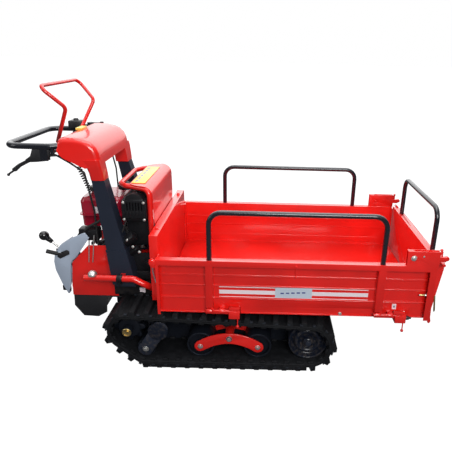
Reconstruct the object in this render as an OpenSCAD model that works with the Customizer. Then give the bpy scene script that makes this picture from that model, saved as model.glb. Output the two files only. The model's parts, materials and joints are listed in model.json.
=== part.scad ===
// Tracked power wheelbarrow with a drop-side bed.
// +X points forward (towards the tailgate), +Y to the machine's left, +Z up.
// The origin is on the ground, under the middle of the machine's outline.

/* [Bed] */
// Rear end of the bed, along X
bed_rear = -267; // [-280:1:-240]
// Length of the bed inside
bed_len = 1120; // [900:1:1350]
// Width over the two side rails
bed_w = 774; // [760:1:930]
// Height of the top of the side rails
rail_z = 518; // [460:1:620]
// Width of a side rail
rail_t = 30; // [28:1:36]
// Height of the top of the bed floor
floor_z = 302; // [296:1:320]
// Depth that the side skirts hang below the floor
skirt_drop = 30; // [20:1:34]
// Thickness of the bed's sheet metal
sheet = 3; // [2:0.5:4]
// Height of the head board's top
head_z = 595; // [540:1:660]
// Depth of the head board's box
head_t = 35; // [28:1:38]
// Depth of the tailgate at its top
tail_t = 41; // [34:1:50]
// Width of the tailgate
tail_w = 690; // [620:1:694]

/* [Hoops] */
// Radius of the guard hoop tube
hoop_r = 10.5; // [8:0.1:10.8]
// Height of the hoops' top
hoop_z = 716; // [640:1:800]
// Bend radius of the hoops
hoop_bend = 50; // [30:1:60]
// Rear leg of the side hoops, from the bed's rear end
hoop_back = 213; // [150:1:260]
// Distance between the side hoops' legs
hoop_span = 693; // [500:1:760]
// Distance between the tail hoop's legs
tail_hoop_span = 486; // [300:1:540]

/* [Tracks] */
// Distance between the outer faces of the two track belts
track_out = 758; // [740:1:900]
// Width of a track belt
track_w = 180; // [170:1:200]
// Pitch of the tread lugs
lug_pitch = 60; // [50:1:72]
// Height of a tread lug
lug_h = 20; // [14:1:24]
// Thickness of the belt's carcass
belt_t = 15; // [10:1:16]
// Radius of the belt's inside on the drive sprocket
sprocket_r = 68; // [60:1:76]
// Sprocket axle, along X
sprocket_x = -407; // [-420:1:-380]
// Sprocket axle, height
sprocket_z = 171; // [160:1:176]
// Radius of the tail roller
tail_r = 40; // [34:1:46]
// Tail roller axle, along X
tail_x = -338; // [-350:1:-320]
// Radius of the front idler
idler_r = 86; // [72:1:90]
// Idler axle, along X
idler_x = 365; // [340:1:400]
// Radius of the bogie rollers
roller_r = 60; // [50:1:62]
// Bogie pivot, along X
bogie_x = 23; // [0:1:60]
// Bogie pivot, height
bogie_z = 135; // [128:1:145]
// Distance from the bogie pivot to each roller
roller_reach = 124; // [110:1:140]

/* [Controls] */
// Radius of the handlebar tube
handle_r = 12.5; // [10:0.5:15]
// Rear end of the handlebar, along X
handle_back = -881.5; // [-960:0.5:-840]
// Height of the handlebar
handle_z = 924; // [900:1:940]
// Distance between the handlebar's two arms at the rear
handle_w = 437; // [400:1:450]
// Height of the drive loop's top
loop_z = 1155; // [1100:1:1200]
// Radius of the drive loop tube
loop_r = 8; // [6:0.5:10]

/* [Hidden] */
$fn = 48;

// Running fit of a shaft in its bore, and the free gap between parts that move past each other
fit = 0.05;
gap = 0.4;

// Bed
bed_front = bed_rear + bed_len;
rail_out = bed_w / 2;
rail_in = rail_out - rail_t;
skirt_z = floor_z - skirt_drop;
rail_h = 24;
floor_half = rail_in - 9;
head_half = rail_in - 32;
head_low = skirt_z + 2;
hoop_u = rail_in + sheet + hoop_r + 1;
rib_w = 30;
rib_t = 2.4;
rib_xs = [bed_rear + hoop_back, bed_rear + hoop_back + hoop_span];
hinge_z = floor_z - 9;
hinge_u = rail_out - 3;
hinge_rod_r = 6;
knuckle_r = 10;
arm_w = 45;
arm_h = 34;
arm_z = floor_z - sheet - 3 - arm_h;
arm_out = rail_out + 8;
arm_xs = [rib_xs[0] + rib_w / 2 + 87, rib_xs[1] + rib_w / 2 + 77];
arm_root = 20;
sleeve_end = 190;
beam_in = 100;
beam_out = 142;
dump_x = 470;
dump_z = 258;
dump_pin_r = 10;
gate_x = bed_front + 1;
gate_low = floor_z - 25;
gate_top = rail_z + 10;
gate_pin_x = gate_x + 8;
gate_pin_z = gate_low - 11;
gate_pin_r = 6;
bracket_h = 64;
bracket_len = 124;
latch_x = bed_front - 91.5;
latch_z = rail_z + 30.5;

// Tracks
track_y = track_out / 2;
track_in = track_y - track_w;
ground = lug_h + belt_t;
tail_z = ground + tail_r;
idler_z = ground + idler_r;
roller_z = ground + roller_r;
shaft_r = 12;
roller_pin_r = 8;
plate_in = track_in + 23;
plate_out = track_y - 29;
plate_t = 8;
rail_y = 150;
rail_w = 35;
cross_end = rail_y + rail_w - 4;
frame_low = 196;
frame_top = 246;
deck_low = 250;
deck_top = 290;
deck_rear = -590;
deck_front = -308;
dump_latch_x = -334;
dump_latch_z = 270;
latch_rod_r = 6;

// Rear assembly
post_top = 792;
post_low = 330;
console_half = 222;
crank_x = -510;
crank_z = 408;
case_half = 100;
cover_y = 192;
pulley_y = 112;
pulley_w = 18;
gearbox_shaft_x = -512;
gearbox_shaft_z = 190;
engine_pulley_r = 38;
gearbox_pulley_r = 52;
loop_pivot = [-707.5, 0, 927];
loop_ear = 96;
lever_pivot = [-727, 0, 878];
guard_r = 11;
guard_z = 752;
guard_front = -318;

// ---------- Shared shapes ----------
function unit(v) = v / norm(v);
function turn(a, b) = acos(max(-1, min(1, a * b)));
// A polyline with its inner corners rounded to one radius
function rounded(p, r, n = 6) = [for (i = [0:len(p) - 1])
    let (first = i == 0, last = i == len(p) - 1)
    if (first || last) p[i]
    else let (a = unit(p[i - 1] - p[i]), c = unit(p[i + 1] - p[i]), bend = 180 - turn(a, c))
        if (bend < 2) p[i]
        else let (s = p[i] + a * r * tan(bend / 2), e = p[i] + c * r * tan(bend / 2),
            o = p[i] + unit(a + c) * r / cos(bend / 2))
            for (k = [0:n]) o + ((s - o) * sin((1 - k / n) * bend) + (e - o) * sin(k / n * bend)) / sin(bend)];
function tangent(p, i) = unit(p[min(i + 1, len(p) - 1)] - p[max(i - 1, 0)]);
function across(u, t) = unit(u - (u * t) * t);
function side_vectors(p, up) = [for (i = 0, u = up; i < len(p); i = i + 1,
    u = across(u, tangent(p, min(i, len(p) - 1)))) u];

// A round tube along a polyline
module sweep(p, r, sides = 16, up = [0, 0, 1]) {
    us = side_vectors(p, up);
    rings = [for (i = [0:len(p) - 1])
        let (t = tangent(p, i), u = across(us[i], t), v = cross(t, u))
        for (k = [0:sides - 1]) p[i] + r * (cos(360 * k / sides) * u + sin(360 * k / sides) * v)];
    last = (len(p) - 1) * sides;
    walls = [for (i = [0:len(p) - 2], k = [0:sides - 1])
        let (a = i * sides + k, b = i * sides + (k + 1) % sides)
        [a, a + sides, b + sides, b]];
    ends = [[for (k = [0:sides - 1]) k], [for (k = [sides - 1:-1:0]) last + k]];
    polyhedron(rings, concat(walls, ends), convexity = 6);
}
module tube(p, r, bend, sides = 16, up = [0, 0, 1]) sweep(rounded(p, bend), r, sides, up);
// A box given by its lowest and highest corners
module block(a, b) translate(a) cube(b - a);
// A round bar along Y between two distances
module bar_y(x, z, r, y0, y1) translate([x, y0, z]) rotate([-90, 0, 0]) cylinder(r = r, h = y1 - y0);
module bar_x(y, z, r, x0, x1) translate([x0, y, z]) rotate([0, 90, 0]) cylinder(r = r, h = x1 - x0);
// A flat plate drawn in X and Z, standing between two distances along Y
module plate_y(y0, y1) translate([0, y1, 0]) rotate([90, 0, 0]) linear_extrude(y1 - y0) children();
// Children drawn on the machine's left (+Y), put on the right or kept
module on_right() mirror([0, 1, 0]) children();
module on_both() { children(); on_right() children(); }

// ---------- Track belt ----------
// Guide circles in the order that the belt passes them: [x, z, radius inside the belt]
guides = [[sprocket_x, sprocket_z, sprocket_r], [idler_x, idler_z, idler_r], [tail_x, tail_z, tail_r]];
function leave(i) = let (a = guides[i], b = guides[(i + 1) % 3], d = norm([b[0] - a[0], b[1] - a[1]]))
    atan2(b[1] - a[1], b[0] - a[0]) + acos((a[2] - b[2]) / d);
function arc_from(i) = let (w = leave((i + 2) % 3), o = leave(i)) w < o ? w + 360 : w;
function on_guide(i, ang, off) = [guides[i][0] + (guides[i][2] + off) * cos(ang),
    guides[i][1] + (guides[i][2] + off) * sin(ang)];
guide_steps = [18, 22, 6];
function belt_line(off) = [for (i = [0:2], k = [0:guide_steps[i]])
    on_guide(i, arc_from(i) + (leave(i) - arc_from(i)) * k / guide_steps[i], off)];
function run_len(i) = norm(on_guide((i + 1) % 3, leave(i), 0) - on_guide(i, leave(i), 0));
function arc_len(i) = (arc_from(i) - leave(i)) * PI / 180 * (guides[i][2] + belt_t / 2);
stages = [arc_len(0), run_len(0), arc_len(1), run_len(1), arc_len(2), run_len(2)];
function sum_to(n) = n == 0 ? 0 : stages[n - 1] + sum_to(n - 1);
belt_len = sum_to(6);
lug_count = round(belt_len / lug_pitch);
function stage_at(s, n = 0) = n == 5 || s < sum_to(n + 1) ? n : stage_at(s, n + 1);
// Place and outward direction of the point at distance s along the belt
function belt_at(s) = let (n = stage_at(s), i = floor(n / 2), f = (s - sum_to(n)) / stages[n],
    o = leave(i))
    n % 2 == 0
        ? let (ang = arc_from(i) + (o - arc_from(i)) * f) concat(on_guide(i, ang, belt_t), ang)
        : concat(on_guide(i, o, belt_t) * (1 - f) + on_guide((i + 1) % 3, o, belt_t) * f, o);
lug_root = 30;
lug_tip = 20;
module lug() polygon([[-lug_root / 2, -3.5], [lug_root / 2, -3.5], [lug_tip / 2, lug_h],
    [-lug_tip / 2, lug_h]]);
module track_belt() color("#1b1c1e") {
    plate_y(track_in, track_y) difference() {
        polygon(belt_line(belt_t));
        polygon(belt_line(0));
    }
    for (k = [0:lug_count - 1]) {
        at = belt_at((k + 0.5) * belt_len / lug_count);
        plate_y(track_in, track_y) translate([at[0], at[1]]) rotate(at[2] - 90) lug();
    }
}

// ---------- Running gear, drawn on the left ----------
teeth = 8;
tooth_tip = sprocket_r - 0.8;
module sprocket_ring() for (k = [0:teeth - 1]) rotate(360 / teeth * k)
    polygon([[-15, 0], [-15, 44], [-7, tooth_tip - 2], [7, tooth_tip - 2], [15, 44], [15, 0]]);
module sprocket() color("#26282b") translate([sprocket_x, 0, sprocket_z]) {
    bar_y(0, 0, 15, 6, track_y - 13);
    bar_y(0, 0, 46, track_in + 42, track_y - 42);
    for (y = [track_in + 52, track_y - 64]) plate_y(y, y + 12) sprocket_ring();
    bar_y(0, 0, 21, track_y - 42, track_y - 6);
}
module idler() color("#20242c") translate([idler_x, 0, idler_z]) rotate([-90, 0, 0]) {
    difference() {
        union() {
            translate([0, 0, plate_in + 12]) cylinder(r = 26, h = plate_out - plate_in - 14);
            translate([0, 0, track_in + 42]) difference() {
                cylinder(r = idler_r - gap, h = track_w - 84);
                translate([0, 0, -1]) cylinder(r = idler_r - 12, h = track_w - 82);
            }
            translate([0, 0, track_y - 76]) cylinder(r = idler_r - 8, h = 10);
            translate([0, 0, track_y - 67]) cylinder(r1 = 62, r2 = 40, h = 12);
        }
        cylinder(r = shaft_r + fit, h = track_y);
    }
}
// A roller between the two bogie plates, dished on both sides
roller_y0 = plate_in + plate_t + 3;
roller_y1 = plate_out - plate_t - 3;
dish = 20;
module roller(r, bore) rotate([-90, 0, 0]) difference() {
    union() {
        translate([0, 0, roller_y0]) cylinder(r = r - gap, h = roller_y1 - roller_y0);
        translate([0, 0, plate_in + plate_t + gap]) cylinder(r = bore + 8,
            h = plate_out - plate_in - 2 * plate_t - 2 * gap);
    }
    for (z = [roller_y0 - 1, roller_y1 - dish]) translate([0, 0, z]) difference() {
        cylinder(r = r - 9, h = dish + 1);
        cylinder(r = bore + 8, h = dish + 1);
    }
    cylinder(r = bore + fit, h = track_y);
}
module bogie_roller(dir) color("#1d2026") translate([bogie_x + dir * roller_reach, 0, roller_z])
    roller(roller_r, roller_pin_r);
module tail_roller() color("#1d2026") translate([tail_x, 0, tail_z]) roller(tail_r, dump_pin_r);
// Half depth of the bogie plate along its length
plate_half = 25;
function bogie_mid(t) = [roller_reach * t, bogie_z - (bogie_z - roller_z) * t * t];
function bogie_edge(t, s) = let (d = unit([roller_reach, -2 * (bogie_z - roller_z) * t]))
    bogie_mid(t) + s * plate_half * [-d[1], d[0]];
module bogie_outline() translate([bogie_x, 0]) {
    polygon(concat([for (k = [-6:6]) bogie_edge(k / 6, 1)], [for (k = [6:-1:-6]) bogie_edge(k / 6, -1)]));
    for (t = [-1, 1]) translate(bogie_mid(t)) circle(r = plate_half);
}
module rocker() color("#d01412") difference() {
    union() {
        plate_y(plate_in, plate_in + plate_t) bogie_outline();
        plate_y(plate_out - plate_t, plate_out) bogie_outline();
        bar_y(bogie_x, bogie_z, shaft_r + 7, plate_in, plate_out);
        for (d = [-1, 1])
            bar_y(bogie_x + d * roller_reach, roller_z, roller_pin_r, plate_in - 3, plate_out + 7);
    }
    bar_y(bogie_x, bogie_z, shaft_r + fit, 0, track_y);
}

// Plate outside each belt that carries the tail roller's axle
tail_stay = [-275, 175];
module tail_plate_outline() polygon(concat(
    [for (a = [120:20:300]) [tail_x + 34 * cos(a), tail_z + 34 * sin(a)]],
    [for (a = [-60:20:120]) [tail_stay[0] + 36 * cos(a), tail_stay[1] + 36 * sin(a)]]));
module track_frame() color("#2a2d33") {
    difference() {
        union() {
            block([tail_x - 20, rail_y + rail_w, bogie_z + 15], [idler_x + 20, track_in + 15, frame_low]);
            block([tail_x - 20, rail_y + rail_w, tail_z - 20], [tail_x + 20, track_in + 15, frame_low]);
            bar_y(bogie_x, bogie_z, 24, rail_y + rail_w, track_in + 20);
            bar_y(idler_x, idler_z, 28, rail_y + rail_w, track_in + 20);
            block([idler_x - 24, rail_y + rail_w, idler_z], [idler_x + 24, track_in + 15, frame_low]);
        }
        block([tail_x + 20, rail_y + rail_w + 5, bogie_z + 20], [bogie_x - 30, track_in + 16, frame_low - 5]);
        block([bogie_x + 30, rail_y + rail_w + 5, bogie_z + 20], [idler_x - 40, track_in + 16, frame_low - 5]);
    }
    bar_y(bogie_x, bogie_z, shaft_r, track_in, plate_out + 4);
    bar_y(idler_x, idler_z, shaft_r, track_in, plate_out + 4);
    bar_y(tail_x, tail_z, dump_pin_r, track_in, plate_out + 4);
    bar_y(tail_stay[0], tail_stay[1], 14, track_in, plate_out - 4);
    plate_y(plate_out - 6, plate_out) tail_plate_outline();
}

// ---------- Chassis ----------
module chassis_frame() color("#c01210") {
    on_both() {
        difference() {
            block([deck_front - 37, rail_y, frame_low], [dump_x + 30, rail_y + rail_w, frame_top]);
            block([deck_front + 3, rail_y - 1, frame_low + 5], [dump_x - 30, rail_y + rail_w - 5, frame_top - 5]);
        }
        difference() {
            union() {
                block([dump_x - 14, rail_y, frame_top - 5], [dump_x + 14, rail_y + 12, dump_z]);
                bar_y(dump_x, dump_z, 14, rail_y, rail_y + 12);
            }
            bar_y(dump_x, dump_z, dump_pin_r + fit, rail_y - 1, rail_y + 13);
        }
        difference() {
            block([deck_rear, rail_y, deck_low], [deck_front, rail_y + rail_w, deck_top]);
            bar_y(dump_latch_x, dump_latch_z, latch_rod_r + fit, rail_y - 1, rail_y + rail_w + 1);
        }
        block([deck_front - 37, rail_y, frame_low], [deck_front, rail_y + rail_w, deck_low + 1]);
        block([-470, rail_y, deck_top - 1], [-400, rail_y + rail_w, post_low - 8]);
    }
    on_both() difference() {
        block([dump_latch_x - 14, rail_y - 12, deck_low + 1], [dump_latch_x + 14, rail_y + 1, deck_top - 1]);
        bar_y(dump_latch_x, dump_latch_z, latch_rod_r + fit, rail_y - 13, rail_y + 2);
    }
    for (x = [deck_front - 37, bogie_x - 20, 400])
        block([x, -cross_end, frame_low + 5], [x + 37, cross_end, frame_top - 6]);
    for (x = [bed_rear + 14, 300]) {
        block([x, -cross_end, frame_low + 10], [x + 40, cross_end, frame_top - 10]);
        on_both() block([x, beam_in, frame_top - 11], [x + 40, beam_out, arm_z]);
    }
    block([deck_rear, -rail_y - 1, deck_low + 1], [deck_rear + 18, rail_y + 1, deck_top - 1]);
    block([deck_front - 110, -rail_y - 1, deck_low + 1], [deck_front - 70, rail_y + 1, deck_top - 1]);
    block([crank_x - 72, -100, deck_top - 12], [crank_x + 74, 90, deck_top]);
    for (y = [-100, 70]) block([deck_rear + 1, y, deck_low + 10], [deck_front - 72, y + 20, deck_top - 2]);
}
module transmission_case() color("#17181a") difference() {
    union() {
        block([-530, -case_half, 120], [-352, case_half, 232]);
        block([-505, -case_half + 12, 226], [-380, case_half - 12, 246]);
        bar_y(sprocket_x, sprocket_z, 58, -case_half + 10, case_half - 10);
        bar_y(sprocket_x, sprocket_z, 34, -rail_y - 42, rail_y + 42);
        bar_y(gearbox_shaft_x, gearbox_shaft_z, 26, case_half - 1, case_half + 6);
        for (y = [-70, -30, 30, 70]) block([-536, y - 4, 130], [-346, y + 4, 220]);
    }
    bar_y(sprocket_x, sprocket_z, 15 + fit, -rail_y - 43, rail_y + 43);
    bar_y(gearbox_shaft_x, gearbox_shaft_z, 9 + fit, case_half - 30, case_half + 7);
}

// ---------- Engine ----------
// Right face of the crankcase, which the shroud seats on
engine_side = -64;
module engine_block() color("#2c2e31") {
    difference() {
        union() {
            block([crank_x - 62, engine_side, deck_top], [crank_x + 66, 72, 470]);
            block([crank_x - 70, -74, deck_top], [crank_x + 74, 82, deck_top + 12]);
        }
        bar_y(crank_x, crank_z, 11 + fit, engine_side - 2, 74);
    }
    translate([crank_x + 30, 0, 430]) rotate([0, 28, 0]) {
        block([-44, -44, 0], [44, 44, 90]);
        for (k = [0:4]) block([-56, -58, 14 + 14 * k], [56, 58, 20 + 14 * k]);
        block([-50, -52, 84], [50, 52, 104]);
    }
    for (y = [-40, 30]) block([crank_x - 60, y, 469], [crank_x - 30, y + 12, 562]);
    bar_y(crank_x, crank_z, 40, -72, -60);
}
// Outlet of the recoil starter's rope, at the back of the shroud
rope_x = crank_x - 86;
rope_y = -110;
rope_z = crank_z + 62;
module engine_shroud() color("#1a1b1d") difference() {
    union() {
        bar_y(crank_x, crank_z, 92, -132, engine_side);
        bar_y(crank_x, crank_z, 70, -150, -131);
        block([crank_x, -132, crank_z + 30], [crank_x + 70, -72, crank_z + 128]);
        bar_x(rope_y, rope_z, 10, rope_x, crank_x - 60);
    }
    bar_y(crank_x, crank_z, 86, -128, engine_side + 1);
    block([crank_x + 10, -128, crank_z + 36], [crank_x + 64, -71, crank_z + 122]);
    for (a = [0:30:359]) translate([crank_x, -151, crank_z]) rotate([0, a, 0])
        block([28, -1, -3], [60, 30, 3]);
}
module muffler() color("#15161a") difference() {
    union() {
        block([-432, -226, 632], [-330, -78, 708]);
        bar_y(-381, 696, 40, -220, -84);
        block([-432, -200, 612], [-340, -100, 633]);
        bar_y(-424, 520, 12, -122, -52);
        translate([-418, -110, 510]) cylinder(r = 12, h = 108);
    }
    for (k = [0:5]) block([-412 + 12 * k, -227, 664], [-406 + 12 * k, -212, 700]);
    for (k = [0:5]) block([-412 + 12 * k, -190, 728], [-406 + 12 * k, -110, 739]);
}
module air_cleaner() color("#15161a") {
    block([-440, -66, 610], [-345, 96, 690]);
    bar_y(-392, 690, 30, -60, 90);
}
module carburettor() color("#8d9094") {
    block([-442, 62, 500], [-400, 100, 546]);
    bar_y(-424, 520, 12, 52, 63);
    translate([-420, 81, 545]) cylinder(r = 16, h = 65);
}
// Fuel tank with a flange round its middle
tank_lo = [-641, -150, 562];
tank_hi = [-455, 48, 690];
module fuel_tank() color("#8a1020") difference() {
    union() {
        hull() for (x = [tank_lo[0] + 26, tank_hi[0] - 26], y = [tank_lo[1] + 26, tank_hi[1] - 26])
            translate([x, y, tank_lo[2]]) {
                cylinder(r = 20, h = 6, $fn = 32);
                translate([0, 0, tank_hi[2] - tank_lo[2] - 24]) cylinder(r = 24, h = 6, $fn = 32);
                translate([0, 0, tank_hi[2] - tank_lo[2] - 8]) cylinder(r = 12, h = 8, $fn = 32);
            }
        hull() for (x = [tank_lo[0] + 20, tank_hi[0] - 20], y = [tank_lo[1] + 20, tank_hi[1] - 20])
            translate([x, y, 612]) cylinder(r = 24, h = 5, $fn = 32);
        translate([-590, -50, tank_hi[2] - 2]) cylinder(r = 24, h = 10);
    }
    translate([-590, -50, tank_hi[2] - 30]) cylinder(r = 20, h = 60);
    hull() for (x = [tank_lo[0] + 30, tank_hi[0] - 30], y = [tank_lo[1] + 30, tank_hi[1] - 30])
        translate([x, y, tank_lo[2] + 3]) cylinder(r = 20, h = tank_hi[2] - tank_lo[2] - 20, $fn = 32);
}
module fuel_cap() color("#1a1a1c") translate([-590, -50, tank_hi[2] + 8 + gap]) {
    difference() {
        cylinder(r = 30, h = 18);
        for (a = [0:30:359]) rotate(a) translate([31, 0, -1]) cylinder(r = 3, h = 20);
    }
    translate([0, 0, -20]) cylinder(r = 19.9, h = 20.1);
}
module starter_grip() color("#151517") {
    bar_x(rope_y, rope_z, 4, rope_x - 6, rope_x - gap);
    block([rope_x - 17, rope_y - 20, rope_z - 7], [rope_x - 5, rope_y + 20, rope_z + 7]);
}
module engine_pulley() color("#4a4c50") {
    bar_y(crank_x, crank_z, 11, -58, pulley_y + pulley_w + 4);
    bar_y(crank_x, crank_z, engine_pulley_r - 6, pulley_y, pulley_y + pulley_w);
    for (y = [pulley_y, pulley_y + pulley_w - 3]) bar_y(crank_x, crank_z, engine_pulley_r, y, y + 3);
}
module gearbox_pulley() color("#4a4c50") {
    bar_y(gearbox_shaft_x, gearbox_shaft_z, 9, case_half - 28, pulley_y + pulley_w + 4);
    bar_y(gearbox_shaft_x, gearbox_shaft_z, gearbox_pulley_r - 6, pulley_y, pulley_y + pulley_w);
    for (y = [pulley_y, pulley_y + pulley_w - 3])
        bar_y(gearbox_shaft_x, gearbox_shaft_z, gearbox_pulley_r, y, y + 3);
}
// V-belt outline round the two pulleys, its inside a gap off each groove
function vbelt(off) = let (a = [crank_x, crank_z], b = [gearbox_shaft_x, gearbox_shaft_z],
    ra = engine_pulley_r - 6 + gap, rb = gearbox_pulley_r - 6 + gap, d = norm(b - a),
    base = atan2(b[1] - a[1], b[0] - a[0]), half = acos((ra - rb) / d))
    concat([for (k = [0:24]) let (t = base + half + (360 - 2 * half) * k / 24)
            a + (ra + off) * [cos(t), sin(t)]],
        [for (k = [0:24]) let (t = base - half + 2 * half * k / 24) b + (rb + off) * [cos(t), sin(t)]]);
module drive_belt() color("#111214") plate_y(pulley_y + 3 + gap, pulley_y + pulley_w - 3 - gap)
    difference() {
        polygon(vbelt(8));
        polygon(vbelt(0));
    }

// ---------- Covers ----------
module side_cover() color("#c81412") {
    plate_y(cover_y, cover_y + sheet) polygon([[-693, 245], [-691, 303], [-679, 407], [-601, 490],
        [-494, 490], [-487, 400], [-487, 245]]);
    block([-556, rail_y + rail_w, 264], [-500, cover_y + 1, 284]);
    block([-693, cover_y - 20, 266], [-690, cover_y + 1, 296]);
}
belly_outline = [[-690, 262], [-694, 190], [-656, 136], [-589, 133], [-548, 158], [-540, 262]];
module belly_cover() color("#23262c") difference() {
    plate_y(-cover_y, cover_y) polygon(belly_outline);
    plate_y(-cover_y + sheet, cover_y - sheet)
        polygon([[-687, 270], [-691, 191], [-654, 139], [-589, 136], [-530, 158], [-530, 270]]);
}
control_outline = [[-712, 252], [-733, 300], [-755, 370], [-757, 410], [-750, 446], [-722, 487],
    [-671, 522], [-609, 550], [-592, 526], [-624, 480], [-656, 436], [-682, 410], [-690, 360],
    [-693, 300]];
control_rim = [[-712, 252], [-733, 300], [-755, 370], [-757, 410], [-750, 446], [-722, 487],
    [-671, 522], [-673, 516], [-718, 483], [-746, 444], [-753, 410], [-751, 371], [-729, 301],
    [-708, 252]];
slot_mid = [-712, 446];
slot_turn = 27;
slot_pivot = [-684, 393];
gear_pivot = [-700, 418];
module control_cover() color("#aebbd0") {
    difference() {
        plate_y(-cover_y - 7, -cover_y - sheet) polygon(control_outline);
        plate_y(-cover_y - 8, -cover_y + 1) translate(slot_mid) rotate(slot_turn)
            polygon([[-26, -9], [26, -9], [30, 0], [26, 9], [-26, 9], [-30, 0]]);
    }
    plate_y(-cover_y - 4, -172) polygon(control_rim);
    difference() {
        union() {
            block([-716, -150, 380], [-662, -140, 438]);
            block([-712, -186, 300], [-662, -180, 405]);
            block([-712, -186, 300], [-700, -140, 306]);
            block([-712, -146, 300], [-700, -140, 438]);
            block([-732, -190, 302], [-700, -180, 316]);
            block([-682, -cover_y, 330], [-664, -180, 346]);
        }
        bar_y(slot_pivot[0], slot_pivot[1], 5 + fit, -190, -130);
        bar_y(gear_pivot[0], gear_pivot[1], 5 + fit, -190, -130);
    }
}

// ---------- Uprights, console and handlebar ----------
// Rear, front and the two sides of a post at its top and at its foot
post_head = [-546, -508, 152, 207];
post_foot = [-480, -394, 190, 250];
post_wall = 4;
module post_solid(wall, back, z0, z1) hull() {
    block([post_head[0] + back, post_head[2] + wall, z1 - 0.1], [post_head[1] - wall, post_head[3] - wall, z1]);
    block([post_foot[0] + back, post_foot[2] + wall, z0], [post_foot[1] - wall, post_foot[3] - wall, z0 + 0.1]);
}
module upright() color("#2b3140") {
    difference() {
        post_solid(0, 0, post_low, post_top);
        post_solid(post_wall, -12, post_low + 6, post_top - 6);
    }
    block([post_foot[0], rail_y, post_low - 8], [post_foot[1], post_foot[3], post_low + 0.5]);
}
console_outline = [[-669, 957], [-675, 919], [-669, 896], [-653, 879], [-597, 852], [-568, 835],
    [-558, 812], [-556, 786], [-500, 786], [-506, 840], [-514, 896], [-524, 922], [-542, 940],
    [-562, 951], [-600, 957]];
console_inside = [[-665, 953], [-671, 919], [-666, 899], [-651, 883], [-594, 856], [-564, 838],
    [-553, 812], [-552, 780], [-504, 780], [-510, 840], [-518, 895], [-527, 920], [-544, 936],
    [-563, 947], [-600, 953]];
console_back_half = 187;
module console_body(outline, t) intersection() {
    plate_y(-console_half, console_half) polygon(outline);
    linear_extrude(1000) polygon([[-680, -console_back_half + t], [-500, -console_half + t],
        [-500, console_half - t], [-680, console_back_half - t]]);
}
module console_cover() color("#d01412") difference() {
    console_body(console_outline, 0);
    console_body(console_inside, sheet);
    block([-650, -140, 770], [-490, 140, 852]);
    on_both() bar_x(200, handle_z, handle_r + 0.8, -690, -545);
}
module handlebar() color("#1a1c20") {
    w = handle_w / 2;
    tube([[-549, -200, handle_z], [-670, -200, handle_z], [-700, -w, handle_z],
        [handle_back, -w, handle_z], [handle_back, w, handle_z], [-700, w, handle_z],
        [-670, 200, handle_z], [-549, 200, handle_z]], handle_r, 55);
    bar_y(-692, 902, 7, -w + 4, w - 4);
    on_both() {
        block([-550, 192, post_top], [-537, 208, handle_z - 4]);
        block([-698, w - 8, 896], [-686, w + 4, handle_z - 6]);
        difference() {
            union() {
                block([-712, loop_ear, 894], [-688, loop_ear + 8, 927]);
                bar_y(loop_pivot[0], loop_pivot[2], 12, loop_ear, loop_ear + 8);
            }
            bar_y(loop_pivot[0], loop_pivot[2], 7 + fit, loop_ear - 1, loop_ear + 9);
        }
        difference() {
            block([lever_pivot[0] - 14, w - 20, lever_pivot[2] - 12],
                [lever_pivot[0] + 14, w + 6, handle_z - 8]);
            block([lever_pivot[0] - 15, w - 13, lever_pivot[2] - 13],
                [lever_pivot[0] + 15, w - 1, lever_pivot[2] + 16]);
        }
        bar_y(lever_pivot[0], lever_pivot[2], 4, w - 18, w + 4);
    }
    block([throttle_x - 22, w - 16, handle_z + 8], [throttle_x + 18, w + 16, handle_z + 24]);
}
module drive_loop() color("#b01016") {
    bar_y(loop_pivot[0], loop_pivot[2], 7, -126, 126);
    tube([loop_pivot + [0, -122, 0], [-640.5, -162, 1070], [-722, -201, loop_z], [-722, 201, loop_z],
        [-640.5, 162, 1070], loop_pivot + [0, 122, 0]], loop_r, 26);
}
module steer_lever() color("#17181b") {
    w = handle_w / 2;
    difference() {
        plate_y(w - 11, w - 3) polygon([[-716, 888], [-740, 889], [-790, 874], [-838, 850],
            [-868, 828], [-866, 816], [-852, 818], [-832, 836], [-786, 860], [-738, 868], [-716, 866]]);
        bar_y(lever_pivot[0], lever_pivot[2], 4 + fit, w - 20, w);
    }
}
throttle_x = -690;
module throttle_lever() color("#17181b") translate([throttle_x, handle_w / 2, handle_z + 24 + gap]) {
    cylinder(r = 14, h = 8);
    block([0, -5, 2], [56, 5, 8]);
    translate([56, 0, 0]) cylinder(r = 9, h = 12);
}
// Middle of the gear lever's ball from its pivot, and the ball's radius
gear_knob = [-106, 96];
ball_r = 21;
module gear_lever() color("#c8ccd2") {
    reach = norm(gear_knob);
    bar_y(gear_pivot[0], gear_pivot[1], 5, -165, -136);
    bar_y(gear_pivot[0], gear_pivot[1], 10, -163, -150 - gap);
    translate([gear_pivot[0], -156, gear_pivot[1]]) rotate([0, atan2(gear_knob[0], gear_knob[1]), 0]) {
        cylinder(r = 4.5, h = reach - ball_r);
        rotate_extrude() polygon(concat([[0, reach - 56], [8, reach - 56], [10, reach - 18]],
            [for (a = [-50:13:80]) [ball_r * cos(a), reach + ball_r * sin(a)]],
            [[0, reach + ball_r * sin(80)]]));
    }
}
module slot_lever() color("#17181b") {
    bar_y(slot_pivot[0], slot_pivot[1], 5, -188, -138);
    bar_y(slot_pivot[0], slot_pivot[1], 10, -178, -165);
    sweep([[slot_pivot[0], -171, slot_pivot[1]], [-706, -178, 434], [-720, -205, 448],
        [-768, -232, 474]], 5, 12, [0, 1, 0]);
    sweep([[-732, -213, 455], [-768, -232, 474]], 9, 16, [0, 1, 0]);
}
module side_tube() color("#d01412") {
    tube([[-597, 284, 378], [-387, 284, 378], [-335, 284, 350], [-320, 250, 320]], 14, 40);
    block([-450, 247, 370], [-430, 276, 386]);
}

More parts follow.
